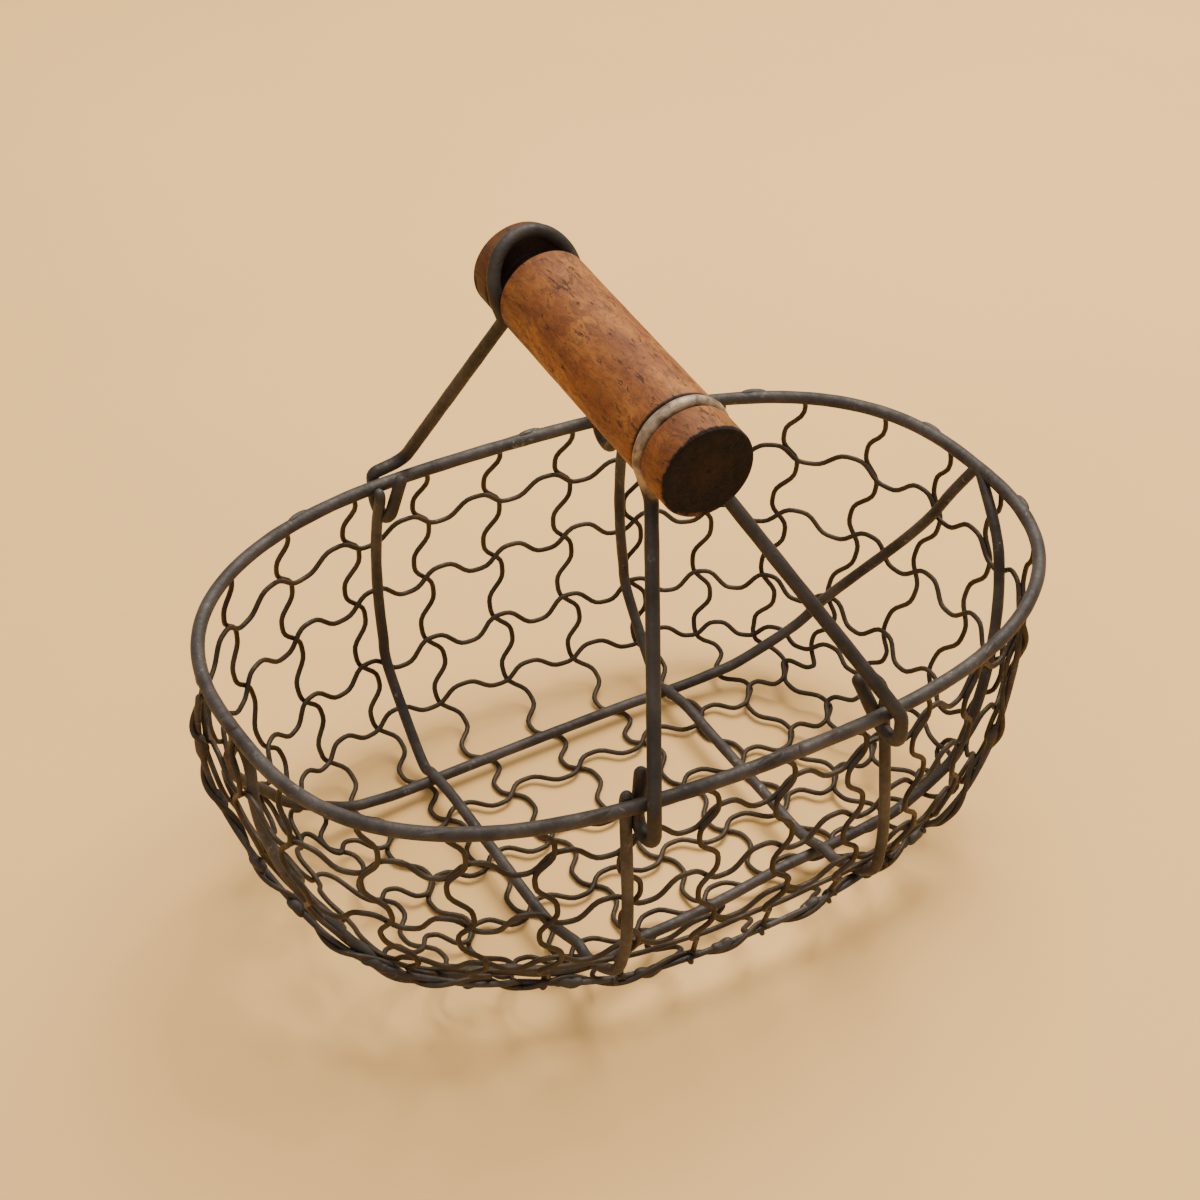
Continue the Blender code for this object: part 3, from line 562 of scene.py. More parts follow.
def spread(points, step):
    """The same open curve with points at even steps, so that dents and radii come out evenly."""
    lengths = run_lengths(points)
    count = max(2, round(lengths[-1] / step))
    out = []
    place = 0
    for i in range(count + 1):
        wanted = lengths[-1] * i / count
        while place < len(lengths) - 2 and lengths[place + 1] < wanted:
            place += 1
        run = max(1e-9, lengths[place + 1] - lengths[place])
        out.append(points[place].lerp(points[place + 1], (wanted - lengths[place]) / run))
    return out


# Finishes

class Value:
    """A shader socket that stands in sums. Each sum adds its Math node."""

    def __init__(self, tree, socket):
        self.tree = tree
        self.socket = socket

    def math(self, operation, other, swapped=False):
        """A Math node on this value and another value or number."""
        pair = (other, self) if swapped else (self, other)
        return add_node(self.tree, "Math", {"operation": operation}, dict(enumerate(pair)))

    def __add__(self, other):
        return self.math("ADD", other)

    __radd__ = __add__

    def __sub__(self, other):
        return self.math("SUBTRACT", other)

    def __rsub__(self, other):
        return self.math("SUBTRACT", other, swapped=True)

    def __mul__(self, other):
        return self.math("MULTIPLY", other)

    __rmul__ = __mul__

    def most(self, other):
        """The larger of this and another."""
        return self.math("MAXIMUM", other)

    def least(self, other):
        """The smaller of this and another."""
        return self.math("MINIMUM", other)


def join(tree, socket, value):
    """Link a socket to a value, or set it to a number, a place or a colour."""
    if isinstance(value, Value):
        tree.links.new(value.socket, socket)
    elif socket.type == "RGBA":
        socket.default_value = (*value, 1)
    else:
        socket.default_value = value


def add_node(tree, kind, settings=None, inputs=None, output=0):
    """A node of a type with its settings and its sockets' values or links."""
    node = tree.nodes.new("ShaderNode" + kind)
    for name, value in (settings or {}).items():
        setattr(node, name, value)
    for name, value in (inputs or {}).items():
        join(tree, node.inputs[name], value)
    return Value(tree, node.outputs[output])


class Finish:
    """A material being built: its nodes, and the shader that they feed."""

    def __init__(self, name):
        self.material = bpy.data.materials.new(name)
        self.material.use_nodes = True
        self.tree = self.material.node_tree
        self.shader = self.tree.nodes["Principled BSDF"]
        self.place = self.node("TexCoord", output="Object")

    def node(self, kind, settings=None, inputs=None, output=0):
        """A node in this finish."""
        return add_node(self.tree, kind, settings, inputs, output)

    def from_grip(self):
        """Object coordinates from the middle of the grip."""
        return self.node("VectorMath", {"operation": "SUBTRACT"},
                         {0: self.place, 1: (GRIP_X, 0, GRIP_HEIGHT)})

    def drawn_out(self, share, turn=(0, 0, 0)):
        """Coordinates on the grip, stretched along it."""
        return self.node("Mapping", {},
                         {"Vector": self.from_grip(), "Scale": (1, share, 1), "Rotation": turn})

    def grain(self, scale, detail=4.0, rough=0.5, vector=None, warp=0.0):
        """Noise between 0 and 1."""
        return self.node("TexNoise", {}, {"Vector": vector or self.place, "Scale": scale,
                                          "Detail": detail, "Roughness": rough, "Distortion": warp})

    def step(self, value, low, high):
        """Smooth step of a value between two limits."""
        return self.node("MapRange", {"interpolation_type": "SMOOTHSTEP"},
                         {"Value": value, "From Min": low, "From Max": high})

    def blend(self, share, first, second):
        """Two colours mixed by a share."""
        return self.node("Mix", {"data_type": "RGBA"}, {0: share, 6: first, 7: second}, output=2)

    def y(self):
        """Y of the point."""
        return self.node("SeparateXYZ", {}, {0: self.place}, output="Y")

    def flat(self):
        """Place square to the grip's axis, from the axis."""
        return self.node("VectorMath", {"operation": "MULTIPLY"}, {0: self.from_grip(), 1: (1, 0, 1)})

    def reach(self):
        """Distance from the grip's axis."""
        return self.node("VectorMath", {"operation": "LENGTH"}, {0: self.flat()}, output=1)

    def bump(self, height, strength, distance):
        """A bump of a height, as a normal."""
        return self.node("Bump", {}, {"Height": height, "Strength": strength, "Distance": distance})

    def feed(self, **sockets):
        """Link or set the shader's own sockets, named with _ for a space."""
        for name, value in sockets.items():
            join(self.tree, self.shader.inputs[name.replace("_", " ")], value)
        return self.material


def iron_finish(name, dark, light, scuff, rust, roughness, scuffs):
    """Old blackened iron wire: cloudy brown-black, with rubbed grey scuffs and fine pitting."""
    f = Finish(name)
    clouds = f.grain(55.0, 5.0, 0.6)
    fine = f.grain(420.0, 4.0, 0.65)
    colour = f.blend(f.step(clouds, 0.3, 0.72), dark, light)
    brown = f.step(f.grain(120.0, 6.0, 0.7), 0.52, 0.75)
    colour = f.blend(brown * 0.6, colour, rust)
    rubbed = f.step(f.grain(260.0, 8.0, 0.75, warp=0.4), 0.56, 0.72)
    patches = f.step(f.grain(38.0, 3.0, 0.5), 0.45, 0.62)
    worn = rubbed * patches * scuffs
    colour = f.blend(worn, colour, scuff)
    height = fine * 0.6 + f.grain(900.0, 2.0, 0.5) * 0.4 + clouds * 0.5
    rough = f.step(fine, 0.2, 0.8) * 0.22 + roughness - worn * 0.14
    if name == "worn_iron":
        ring = (1.0 - f.step(f.reach(), *BARE_REACH)) * (1.0 - f.step(f.y(), *BARE_Y))
        bare = f.blend(f.step(f.grain(190.0, 5.0, 0.65), 0.35, 0.65), BARE_SHADE, BARE_IRON)
        colour = f.blend(ring * (f.step(clouds, 0.2, 0.5) * 0.4 + 0.6), colour, bare)
    return f.feed(Base_Color=colour, Roughness=rough, Metallic=0.55,
                  Normal=f.bump(height, 0.45, 0.0008))


def wood_colour(f, streaks, mottle, pores):
    """Mottled brown wood with darker streaks, golden scratches, spots and pores."""
    bands = f.grain(85.0, 6.0, 0.65, vector=f.drawn_out(0.35), warp=0.5)
    colour = f.blend(f.step(bands, 0.33, 0.64), WOOD_DARK, WOOD_LIGHT)
    gold = f.step(f.grain(60.0, 5.0, 0.65, vector=f.drawn_out(0.55), warp=0.4), 0.44, 0.68)
    colour = f.blend(gold * 0.6, colour, WOOD_GOLD)
    colour = f.blend(f.step(mottle, 0.45, 0.60) * 0.72, colour, WOOD_STREAK)
    colour = f.blend(f.step(streaks, 0.46, 0.66) * 0.5, colour, WOOD_STREAK)
    stain = f.step(f.grain(60.0, 7.0, 0.78, warp=0.5), 0.50, 0.68)
    colour = f.blend(stain * 0.55, colour, WOOD_RED)
    slanted = f.drawn_out(0.3, (0.5, 0, 0.6))
    scratch = f.step(f.grain(360.0, 5.0, 0.75, vector=slanted, warp=0.8), 0.61, 0.70)
    colour = f.blend(scratch * gold * 0.55, colour, WOOD_SCRATCH)
    colour = f.blend(pores * 0.8, colour, WOOD_PORE)
    spots = f.step(f.grain(210.0, 4.0, 0.7, warp=0.5), 0.64, 0.72)
    return f.blend(spots * 0.65, colour, WOOD_PORE)


def darken_ends(f, colour, along):
    """The wood's colour darkened towards both ends, and most on the far knob."""
    uneven_along = along + (f.grain(90.0, 6.0, 0.7) - 0.5) * END_DARKENING_PLAY
    knob_start = FAR_GROOVE[1] - 1 * MM
    colour = f.blend(f.step(uneven_along, *FAR_DARKENING_Y) * 0.45, colour, WOOD_END_DARKENING)
    colour = f.blend(f.step(along, knob_start, knob_start + 2 * MM) * 0.68, colour, WOOD_END_DARKENING)
    return f.blend((1.0 - f.step(uneven_along, *NEAR_DARKENING_Y)) * 0.34, colour, WOOD_END_DARKENING)


def painted_groove_shade(f, along, reach):
    """1 in the turned grooves and under the wood's surface: painted shade, where the recesses fall dark."""
    recess_shade = 1.0 - f.step(reach, GRIP_RADIUS - 3.2 * MM, GRIP_RADIUS - 0.9 * MM)
    for start, stop, _ in (NEAR_GROOVE, FAR_GROOVE):
        inside = f.step(along, start - 0.6 * MM, start + 0.1 * MM)
        recess_shade = recess_shade.most(inside * (1.0 - f.step(along, stop + 0.1 * MM, stop + 0.9 * MM)))
    return recess_shade


def on_faces(f, along, reach):
    """1 on the two end faces and on their ragged dark edges."""
    ragged = (f.grain(260.0, 6.0, 0.75) - 0.5) * FACE_PLAY
    near = along + ragged - NEAR_FACE_Y
    far = FAR_FACE_Y - along + ragged
    edges = 1.0 - f.step(near.least(far), 0.4 * MM, 1.2 * MM)
    inner = 1.0 - f.step(reach + ragged * 0.3, GRIP_RADIUS - 1.4 * MM, GRIP_RADIUS - 0.7 * MM)
    depth = (along - NEAR_FACE_Y).least(FAR_FACE_Y - along)
    return edges.most(inner * (1.0 - f.step(depth, 2.0 * MM, 3.0 * MM)))


def end_grain(f, reach, crack):
    """Dark end grain, browner in its middle, with cracks, and painted shade for the hole of the lathe's
    pin.
    """
    rings = f.grain(260.0, 7.0, 0.75, vector=f.flat())
    face = f.blend(f.step(rings, 0.42, 0.68), END_DARK, END_BROWN)
    face = f.blend((1.0 - f.step(reach, 1.0 * MM, 8.0 * MM)) * 0.5, face, END_CENTRE)
    face = f.blend(f.step(reach, 11.0 * MM, 13.6 * MM) * 0.6, face, END_DARK)
    face = f.blend(crack * 0.5, face, END_DARK)
    # Painted shade: a near-black dot stands for the hole of the lathe's pin
    return f.blend(1.0 - f.step(reach, 0.6 * MM, 1.0 * MM), face, PIN_HOLE_SHADE)


def wood_finish():
    """Old turned wood: mottled grain, dark pores and scratches, ends darkened, painted shade in the
    grooves, burnt-looking end grain.
    """
    f = Finish("old_wood")
    along, reach = f.y(), f.reach()
    streaks = f.grain(420.0, 7.0, 0.7, vector=f.drawn_out(0.14), warp=0.7)
    mottle = f.grain(300.0, 8.0, 0.8, vector=f.drawn_out(0.5), warp=1.0)
    pores = f.step(f.grain(520.0, 4.0, 0.7, vector=f.drawn_out(0.3), warp=0.3), 0.58, 0.66)
    cracks = f.node("TexVoronoi", {"feature": "DISTANCE_TO_EDGE"},
                    {"Vector": f.flat(), "Scale": 230.0, "Randomness": 1.0})
    crack = 1.0 - f.step(cracks, 0.0, 0.05)
    burnt = on_faces(f, along, reach)
    colour = darken_ends(f, wood_colour(f, streaks, mottle, pores), along)
    # Painted shade: the grooves and the wood under the surface are darkened nearly to black
    colour = f.blend(painted_groove_shade(f, along, reach) * (1.0 - burnt) * 0.95, colour, END_DARK)
    colour = f.blend(burnt, colour, end_grain(f, reach, crack))
    height = streaks * 0.4 + mottle * 0.5 - pores * 0.7 + f.grain(800.0, 3.0, 0.6) * 0.3
    height = height - crack * burnt * 0.6
    rough = 0.58 + f.step(streaks, 0.3, 0.8) * 0.14 + burnt * 0.22
    return f.feed(Base_Color=colour, Roughness=rough, Specular_IOR_Level=0.3,
                  Normal=f.bump(height, 0.6, 0.0007))


def finish(name):
    """One of the finishes, made when it is first wanted."""
    if name in bpy.data.materials:
        return bpy.data.materials[name]
    if name == "old_wood":
        return wood_finish()
    return iron_finish(name, *IRONS[name])


# Wires

def uneven(points, amount, seed):
    """A line moved a little to and fro, as wire bent by hand, the same in every run."""
    out = []
    for place in points:
        spot = place * WANDER_SCALE + Vector((seed, 0, 0))
        out.append(place + Vector([noise.noise(spot + offset) for offset in WANDER_OFFSETS]) * amount)
    return out


def radii_along(points, radius, seed, rough=0.035, tips=True):
    """Radii along a wire: a little uneven, and rounded off at its ends."""
    lengths = run_lengths(points)
    out = []
    for done in lengths:
        value = radius * (1 + rough * noise.noise(Vector((done * 130, seed, 0))))
        away = min(done, lengths[-1] - done)
        if tips and away < radius:
            value *= max(0.35, math.sqrt(1 - (1 - away / radius) ** 2))
        out.append(value)
    return out


def draw_wire(name, points, radii, closed=False, sides=10):
    """A round wire along a line of points: a bevelled curve that is turned into a mesh."""
    bpy.ops.object.select_all(action="DESELECT")
    bpy.ops.curve.primitive_nurbs_path_add(location=(0, 0, 0))
    wire = bpy.context.object
    curve = wire.data
    curve.splines.clear()
    line = curve.splines.new("POLY")
    line.points.add(len(points) - 1)
    for spot, place, radius in zip(line.points, points, radii):
        spot.co = (*place, 1)
        spot.radius = radius / MM
    line.use_cyclic_u = closed
    curve.dimensions = "3D"
    curve.bevel_depth = MM
    curve.bevel_resolution = (sides - 4) // 2
    curve.use_fill_caps = not closed
    bpy.ops.object.convert(target="MESH")
    wire = bpy.context.object
    wire.name = name
    bpy.ops.object.mode_set(mode="EDIT")
    bpy.ops.mesh.select_all(action="SELECT")
    bpy.ops.mesh.remove_doubles(threshold=MM / 100)
    bpy.ops.mesh.normals_make_consistent(inside=False)
    bpy.ops.object.mode_set(mode="OBJECT")
    bpy.ops.object.shade_smooth_by_angle(angle=math.radians(50))
    return wire


def dress(piece, body_name, slot, finish_name, *nodes):
    """Give a piece its finish, the body that it moves with and the nodes that it replaces. Its slot is not
    used.
    """
    piece.data.materials.clear()
    piece.data.materials.append(finish(finish_name))
    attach(piece, body_name)
    if nodes:
        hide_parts(*nodes)


# Crimped mesh

def crimp(phase):
    """Sideways share of a crimped wire: one wave for each cell, with flattened crests."""
    return math.sin(2 * math.pi * phase) + CREST_SHARE * math.sin(6 * math.pi * phase)


def mesh_place(column):
    """Place round the rim of a mesh column."""
    place = (column + MESH_COLUMN_SHIFT) * RIM_PARTS / MESH_COLUMNS
    return place + BACK_COLUMN_SHIFT * ease((abs(from_front(place)) - BACK_COLUMN_START) / BACK_COLUMN_TURN)


def phase_share(along, phase):
    """Depth share at a number of cells down the wall. Cell 3 is the hem."""
    last = WALL_ROWS - 1
    if phase <= last:
        return (FIRST_ROW_DROP + phase * MESH_ROW_PITCH) / BACK_DROP
    share = phase_share(along, last)
    return share + (hem_share(along) - share) * (phase - last)


def wall_key(along, phase):
    """Phase, place, sideways direction and crimp height of a wire down the wall mesh."""
    share = phase_share(along, phase)
    place, across, _, normal = frame_of(wall, along, share)
    near = ease(1 - share / TOP_TURN_SHARE)
    under = rim(along) - Vector((0, 0, RIM_RADIUS * 0.6))
    place = (place + normal * MESH_LAYER).lerp(under, near)
    return phase, place, -across, CRIMP * (1 - near)


def wall_keys(along, last=WALL_ROWS - 0.25):
    """Keys of a wire from under the rim down to a phase, four to a cell."""
    first = -FIRST_ROW_DROP / MESH_ROW_PITCH
    phases = [first] + [i / 4 for i in range(math.ceil(first * 4 + 0.5), int(last * 4) + 1)]
    return [wall_key(along, phase) for phase in phases]


def turned_back(keys, phase):
    """Keys of a wire down a wall, run upwards after a wire that reaches the hem at a phase."""
    return [(phase + WALL_ROWS - key[0], key[1], -key[2], key[3]) for key in reversed(keys)]


def crimped(keys, seed):
    """Points of a crimped wire through its keys."""
    steps = 4
    places = smooth([key[1] for key in keys], steps)
    points = []
    for i, place in enumerate(places):
        number = min(i // steps, len(keys) - 2)
        share = i / steps - number
        here, there = keys[number], keys[number + 1]
        phase = here[0] + (there[0] - here[0]) * share
        side = here[2].lerp(there[2], share).normalized()
        height = here[3] + (there[3] - here[3]) * share
        phase += PHASE_PLAY * noise.noise(Vector((phase * 0.6, seed, 1)))
        height *= 1 + CRIMP_PLAY * noise.noise(Vector((phase * 0.9, seed, 2)))
        points.append(place + side * height * crimp(phase))
    return points


def curl(wires, along, first, last, drift):
    """End of a mesh wire, wound round the seam from one angle to another."""
    step = 0.01
    centre = edge(along)
    across = (edge(along + step) - edge(along - step)).normalized()
    out = Vector((across.y, -across.x, 0)).normalized()
    radius = wires.seam_radius + wires.mesh_radius * CURL_CLOSE
    steps = 12
    points = []
    for i in range(steps + 1):
        angle = math.radians(first + (last - first) * i / steps)
        points.append(centre + (out * math.cos(angle) + Vector((0, 0, math.sin(angle)))) * radius
                      + across * drift * i / steps)
    return points


def hung_wire_keys(column):
    """Keys of a wire down the back wall and on over the floor to the front edge, and its last phase."""
    back, front = mesh_place(MESH_COLUMNS // 2 - column), mesh_place(column)
    keys = wall_keys(back)
    start, stop = hem(back), hem(front)
    rows = [(FLOOR_ROWS / 2 - 0.5 - i) * FLOOR_ROW_PITCH for i in range(FLOOR_ROWS)]
    rows = [y for y in rows if stop.y + ROW_MARGIN < y < start.y - ROW_MARGIN]
    nodes = [(float(WALL_ROWS), start.y)]
    for y in rows + [stop.y]:
        run = (nodes[-1][1] - y) / FLOOR_ROW_PITCH
        cells = 1 if abs(run - 1) < 0.01 else max(0.5, round(run * BORDER_CELLS_TO_PITCH * 2) / 2)
        nodes.append((nodes[-1][0] + cells, y))
    nodes[-1] = (round(nodes[-1][0]), nodes[-1][1])
    side = Vector((1, 0, 0))
    keys.append((float(WALL_ROWS), start - Vector((0, 0, MESH_LAYER)) * 0.5, side, CRIMP))
    for (low, y_low), (high, y_high) in zip(nodes, nodes[1:]):
        steps = max(2, round((high - low) * 4))
        for i in range(1, steps + 1):
            y = y_low + (y_high - y_low) * i / steps
            x = start.x + (stop.x - start.x) * (start.y - y) / (start.y - stop.y)
            place = MESH_BED.above(x, y, -MESH_LAYER)
            keys.append((low + (high - low) * i / steps, place, side, CRIMP))
    return keys, nodes[-1][0]


def floor_x(column, y):
    """X of a wire across the floor at a Y."""
    back, front = hem(mesh_place(MESH_COLUMNS // 2 - column)), hem(mesh_place(column))
    return back.x + (front.x - back.x) * (back.y - y) / (back.y - front.y)


def end_wire_keys(number):
    """Keys of a wire down the right end, on along the floor and up the left end."""
    right = mesh_place(RIGHT_END_COLUMNS[number])
    left = mesh_place(LEFT_END_COLUMNS[number])
    y_row = (number - FLOOR_ROWS / 2 + 0.5) * FLOOR_ROW_PITCH
    keys = wall_keys(right)
    start, stop = hem(right), hem(left)
    side = Vector((0, -1, 0))
    columns = range(FLOOR_COLUMNS, -FLOOR_COLUMNS - 1, -1)
    inner = [floor_x(column, y_row) for column in columns]
    inner = [x for x in inner if stop.x + COLUMN_MARGIN < x < start.x - COLUMN_MARGIN]
    nodes = [(float(WALL_ROWS), start.x, start.y)]
    for x in inner:
        nodes.append((nodes[-1][0] + 1, x, y_row))
    nodes.append((nodes[-1][0] + 1, stop.x, stop.y))
    keys.append((float(WALL_ROWS), start, side, CRIMP))
    for (low, x_low, y_low), (_, x_high, y_high) in zip(nodes, nodes[1:]):
        for i in range(1, 5):
            share = i / 4
            x = x_low + (x_high - x_low) * share
            y = y_low + (y_high - y_low) * ease(share)
            keys.append((low + share, MESH_BED.above(x, y, MESH_LAYER), side, CRIMP))
    keys[-1] = (nodes[-1][0], stop, side, CRIMP)
    return keys + turned_back(wall_keys(left), nodes[-1][0])


def mesh_wire(name, points, radius, seed, *nodes, closed=False):
    """A finished mesh wire."""
    radii = radii_along(points, radius, seed, rough=0.05, tips=not closed)
    wire = draw_wire(name, points, radii, closed=closed)
    dress(wire, "basket", "mesh_wire", "mesh_iron", *nodes)


def draw_mesh_rows(wires):
    """The closed crimped wires round the wall."""
    steps = wires.points_to_cell
    for row in range(WALL_ROWS + 1):
        points = []
        for i in range(MESH_COLUMNS * steps):
            column = i / steps
            along = mesh_place(column)
            share = ROW_SHARES[row]
            height = CRIMP * (1 + CRIMP_PLAY * noise.noise(Vector((column * 0.9, row, 4))))
            if row == WALL_ROWS:
                share += BACK_SAG_SHARE * back_half(along)
                height *= LAST_ROW_CRIMP_SHARE - LAST_ROW_LACED_SHARE * laced(along)
            place, _, down, normal = frame_of(wall, along, share)
            phase = column + ROW_PHASES[row] + PHASE_PLAY * noise.noise(Vector((column * 0.7, row, 3)))
            points.append(place - down * height * crimp(phase) - normal * MESH_LAYER)
        mesh_wire(f"mesh_row_{row + 1}", points, wires.mesh_radius, row, f"wall_row_{row + 1}", closed=True)


def draw_hung_wires(wires):
    """The wires that come down the back wall and run on over the floor."""
    for column in range(-FLOOR_COLUMNS, FLOOR_COLUMNS + 1):
        keys, last = hung_wire_keys(column)
        place = mesh_place(column)
        back_number = MESH_COLUMNS // 2 - column + 1
        nodes = [f"wall_column_{back_number:02d}", f"floor_cross_wire_{column + FLOOR_COLUMNS + 1}"]
        if abs(column) == FLOOR_COLUMNS:
            keys += turned_back(wall_keys(place), last)
            nodes.append(f"wall_column_{column % MESH_COLUMNS + 1:02d}")
            points = crimped(keys, column)
        else:
            points = crimped(keys[:-1], column)
            points += curl(wires, place, *HUNG_CURL)
        points = smooth(points, 1)
        mesh_wire(f"hung_wire_{column + FLOOR_COLUMNS + 1}", points, wires.mesh_radius, column, *nodes)


def draw_front_wires(wires):
    """The wires of the front panel, wound round the seam at their lower ends."""
    for column in range(1 - FLOOR_COLUMNS, FLOOR_COLUMNS):
        along = mesh_place(column)
        seed = FRONT_SEED + column
        points = crimped(wall_keys(along, WALL_ROWS - 0.5), seed) + curl(wires, along + 0.1, *FRONT_CURL)
        mesh_wire(f"front_wire_{column + FLOOR_COLUMNS}", points, wires.mesh_radius, seed,
                  f"wall_column_{column % MESH_COLUMNS + 1:02d}")


def draw_end_wires(wires):
    """The wires that come down one end, run along the floor and climb the other end."""
    for number in range(FLOOR_ROWS):
        nodes = [f"floor_long_wire_{number + 1}", f"wall_column_{RIGHT_END_COLUMNS[number] + 1:02d}",
                 f"wall_column_{LEFT_END_COLUMNS[number] + 1:02d}"]
        seed = END_SEED + number
        mesh_wire(f"end_wire_{number + 1}", crimped(end_wire_keys(number), seed), wires.mesh_radius, seed,
                  *nodes)
    keys = wall_keys(mesh_place(LOOSE_END_COLUMN), WALL_ROWS)
    mesh_wire("end_wire_5", crimped(keys, LOOSE_SEED), wires.mesh_radius, LOOSE_SEED,
              f"wall_column_{LOOSE_END_COLUMN + 1:02d}")


# Frame wires

def frame_wire(name, points, radius, seed, *nodes, body_name="basket", iron="black_iron", step=0.9 * MM):
    """A finished frame wire on a line of points."""
    points = uneven(spread(points, step), 0.12 * MM, seed)
    wire = draw_wire(name, points, radii_along(points, radius, seed, rough=0.05), sides=14)
    dress(wire, body_name, "frame_wire", iron, *nodes)


def draw_rim(wires):
    """The thick rim wire."""
    count = 480
    points = uneven([rim(RIM_PARTS * i / count) for i in range(count)], 0.2 * MM, 1)
    radii = radii_along(points, wires.rim_radius, 1, rough=0.06, tips=False)
    wire = draw_wire("rim", points, radii, closed=True, sides=16)
    dress(wire, "basket", "frame_wire", "black_iron", "rim_wire")


def cross_rib_side(top_x, foot_x, front):
    """Half of a cross rib, from above the rim down the wall and out to the flat floor."""
    points = []
    steps = 7
    wall_share = CROSS_RIB_WALL_SHARES[front]
    for i in range(steps):
        share = i / (steps - 1) * wall_share
        x = top_x + (foot_x - top_x) * share
        points.append(body(place_at_x(lambda along: body(along, share), x, front), share))
    along = place_at_x(rim, top_x, front)
    points[0] -= Vector((0, 0, RIB_RADIUS))
    lift = RIB_RADIUS + RIM_RADIUS * CROSS_RIB_TOP_LIFTS[front]
    top = points[0].lerp(rim(along), CROSS_RIB_TOP_TURN) + Vector((0, 0, lift))
    foot_y = edge(place_at_x(edge, foot_x, front)).y
    for share in CROSS_RIB_FLOOR_SHARES[front]:
        high = ease((wall_share - share) / (wall_share - CROSS_RIB_RISE_SHARES[front]))
        lift = RIB_CLEAR + (CROSS_RIB_LIFT - RIB_CLEAR) * high
        points.append(FRAME_BED.above(foot_x, foot_y * share, lift))
    return [top] + points


def draw_cross_ribs(wires):
    """The two U-shaped cross ribs."""
    for side, (front_x, back_x) in CROSS_RIB_TOPS.items():
        foot_x = math.copysign(CROSS_RIB_X, front_x)
        front = cross_rib_side(front_x, foot_x, True)
        back = cross_rib_side(back_x, foot_x, False)
        middle = FRAME_BED.above(foot_x, 0, CROSS_RIB_LIFT)
        points = smooth(front + [middle] + back[::-1], 8)
        frame_wire(f"cross_rib_{side}_wire", points, wires.rib_radius, 3 + foot_x, f"cross_rib_{side}")


def bow(x, bows):
    """Sideways step of a rib that is bowed at a few places along it."""
    return sum(height * (1 - ease(abs(x - place) / reach)) for place, reach, height in bows)


def long_rib_end(end, side, turn, bend, floor_y):
    """Quarter of a lengthwise rib, from the rim's end down the end wall and onto the floor."""
    end_place = RIGHT_RIB_PLACE if end > 0 else -LEFT_RIB_PLACE
    start = (RIB_RADIUS + GAP / 2) * RIM_PARTS / LENGTHS[-1]
    points = []
    steps = 8
    for i in range(steps):
        share = LONG_RIB_WALL_SHARE * i / (steps - 1)
        along = end_place - end * side * (start + (turn - start) * share ** bend)
        _, _, _, normal = frame_of(body, along, share)
        bulge = FRONT_RIB_CORNER_BULGE * ease(share / 0.6) if end < 0 < side else 0
        points.append(body(along, share) + normal * bulge)
    points[0] = rim(end_place) + Vector((0, 0, RIM_RADIUS * LONG_RIB_TOP_LIFT))
    foot = edge(end_place - end * side * turn)
    for i in range(1, steps):
        share = LONG_RIB_EDGE_SHARE * (1 - i / steps)
        y = foot.y + (floor_y - foot.y) * (1 - share ** 3)
        if side > 0:
            y += bow(foot.x * share, FRONT_RIB_BOWS)
        points.append(FRAME_BED.above(foot.x * share, y, RIB_CLEAR))
    return points


def draw_long_ribs(wires):
    """The two lengthwise ribs, bowed to the front and the back of the floor."""
    for name, side in (("front", 1), ("back", -1)):
        turns, powers, floor_y = LONG_RIB_TURNS[name], LONG_RIB_POWERS[name], LONG_RIB_FLOOR_Y[name]
        left = long_rib_end(-1, side, turns[0], powers[0], floor_y)
        right = long_rib_end(1, side, turns[1], powers[1], floor_y)
        middle_y = floor_y + (bow(0, FRONT_RIB_BOWS) if side > 0 else 0)
        middle = FRAME_BED.above(0, middle_y, RIB_CLEAR)
        points = smooth(left + [middle] + right[::-1], 8)
        frame_wire(f"long_rib_{name}_wire", points, wires.rib_radius, 7 + side, f"long_rib_{name}")


def seam_side(top_place, foot_place, bend):
    """One end of the seam, from under the rim down outside the end wall to the floor's border."""
    offset = CAD_OUTSIDE + GAP + SEAM_RADIUS
    first = (RIM_RADIUS - GAP) / FRONT_DROP
    points = []
    rises = 24
    for i in range(rises):
        t = i / rises
        share = first + (1 - first) * math.sin(t * math.pi / 2)
        along = top_place + (foot_place - top_place) * share ** bend
        place, _, _, normal = frame_of(wall, along, share)
        low = ease((t - SEAM_LAND_SHARE) / (1 - SEAM_LAND_SHARE))
        points.append((place + normal * offset).lerp(edge(along), low))
    return points


def seam_line():
    """The whole line of the seam, from the right end round the front to the left end."""
    right = seam_side(SEAM_RIGHT_PLACE, SEAM_FOOT_PLACE, SEAM_RIGHT_BEND)
    left = seam_side(-SEAM_LEFT_PLACE, -SEAM_FOOT_PLACE, SEAM_LEFT_BEND)
    runs = 36
    front = [edge(SEAM_FOOT_PLACE * (1 - 2 * i / runs)) for i in range(runs + 1)]
    return smooth(right + front + left[::-1], 3)


def draw_seam(wires):
    """The seam wire that laces the front panel to the floor, and the wire wound loosely round it."""
    line = spread(seam_line(), 1.2 * MM)
    points = uneven(line, 0.3 * MM, 11)
    wire = draw_wire("seam", points, radii_along(points, wires.seam_radius, 11, rough=0.1), sides=12)
    dress(wire, "basket", "frame_wire", "black_iron", "seam_wire")
    wound = []
    for i, place in enumerate(line):
        tangent = (line[min(i + 1, len(line) - 1)] - line[max(i - 1, 0)]).normalized()
        level = tangent.cross(Vector((0, 0, 1))).normalized()
        upright = level.cross(tangent)
        angle = 2 * math.pi * i / wires.lacing_steps + noise.noise(Vector((i * 0.03, 5, 0)))
        reach = wires.seam_radius + wires.mesh_radius * 0.9
        wound.append(place + (level * math.cos(angle) + upright * math.sin(angle)) * reach)
    wire = draw_wire("seam_lacing", wound, radii_along(wound, wires.mesh_radius, 12))
    dress(wire, "basket", "frame_wire", "mesh_iron")


# Bails

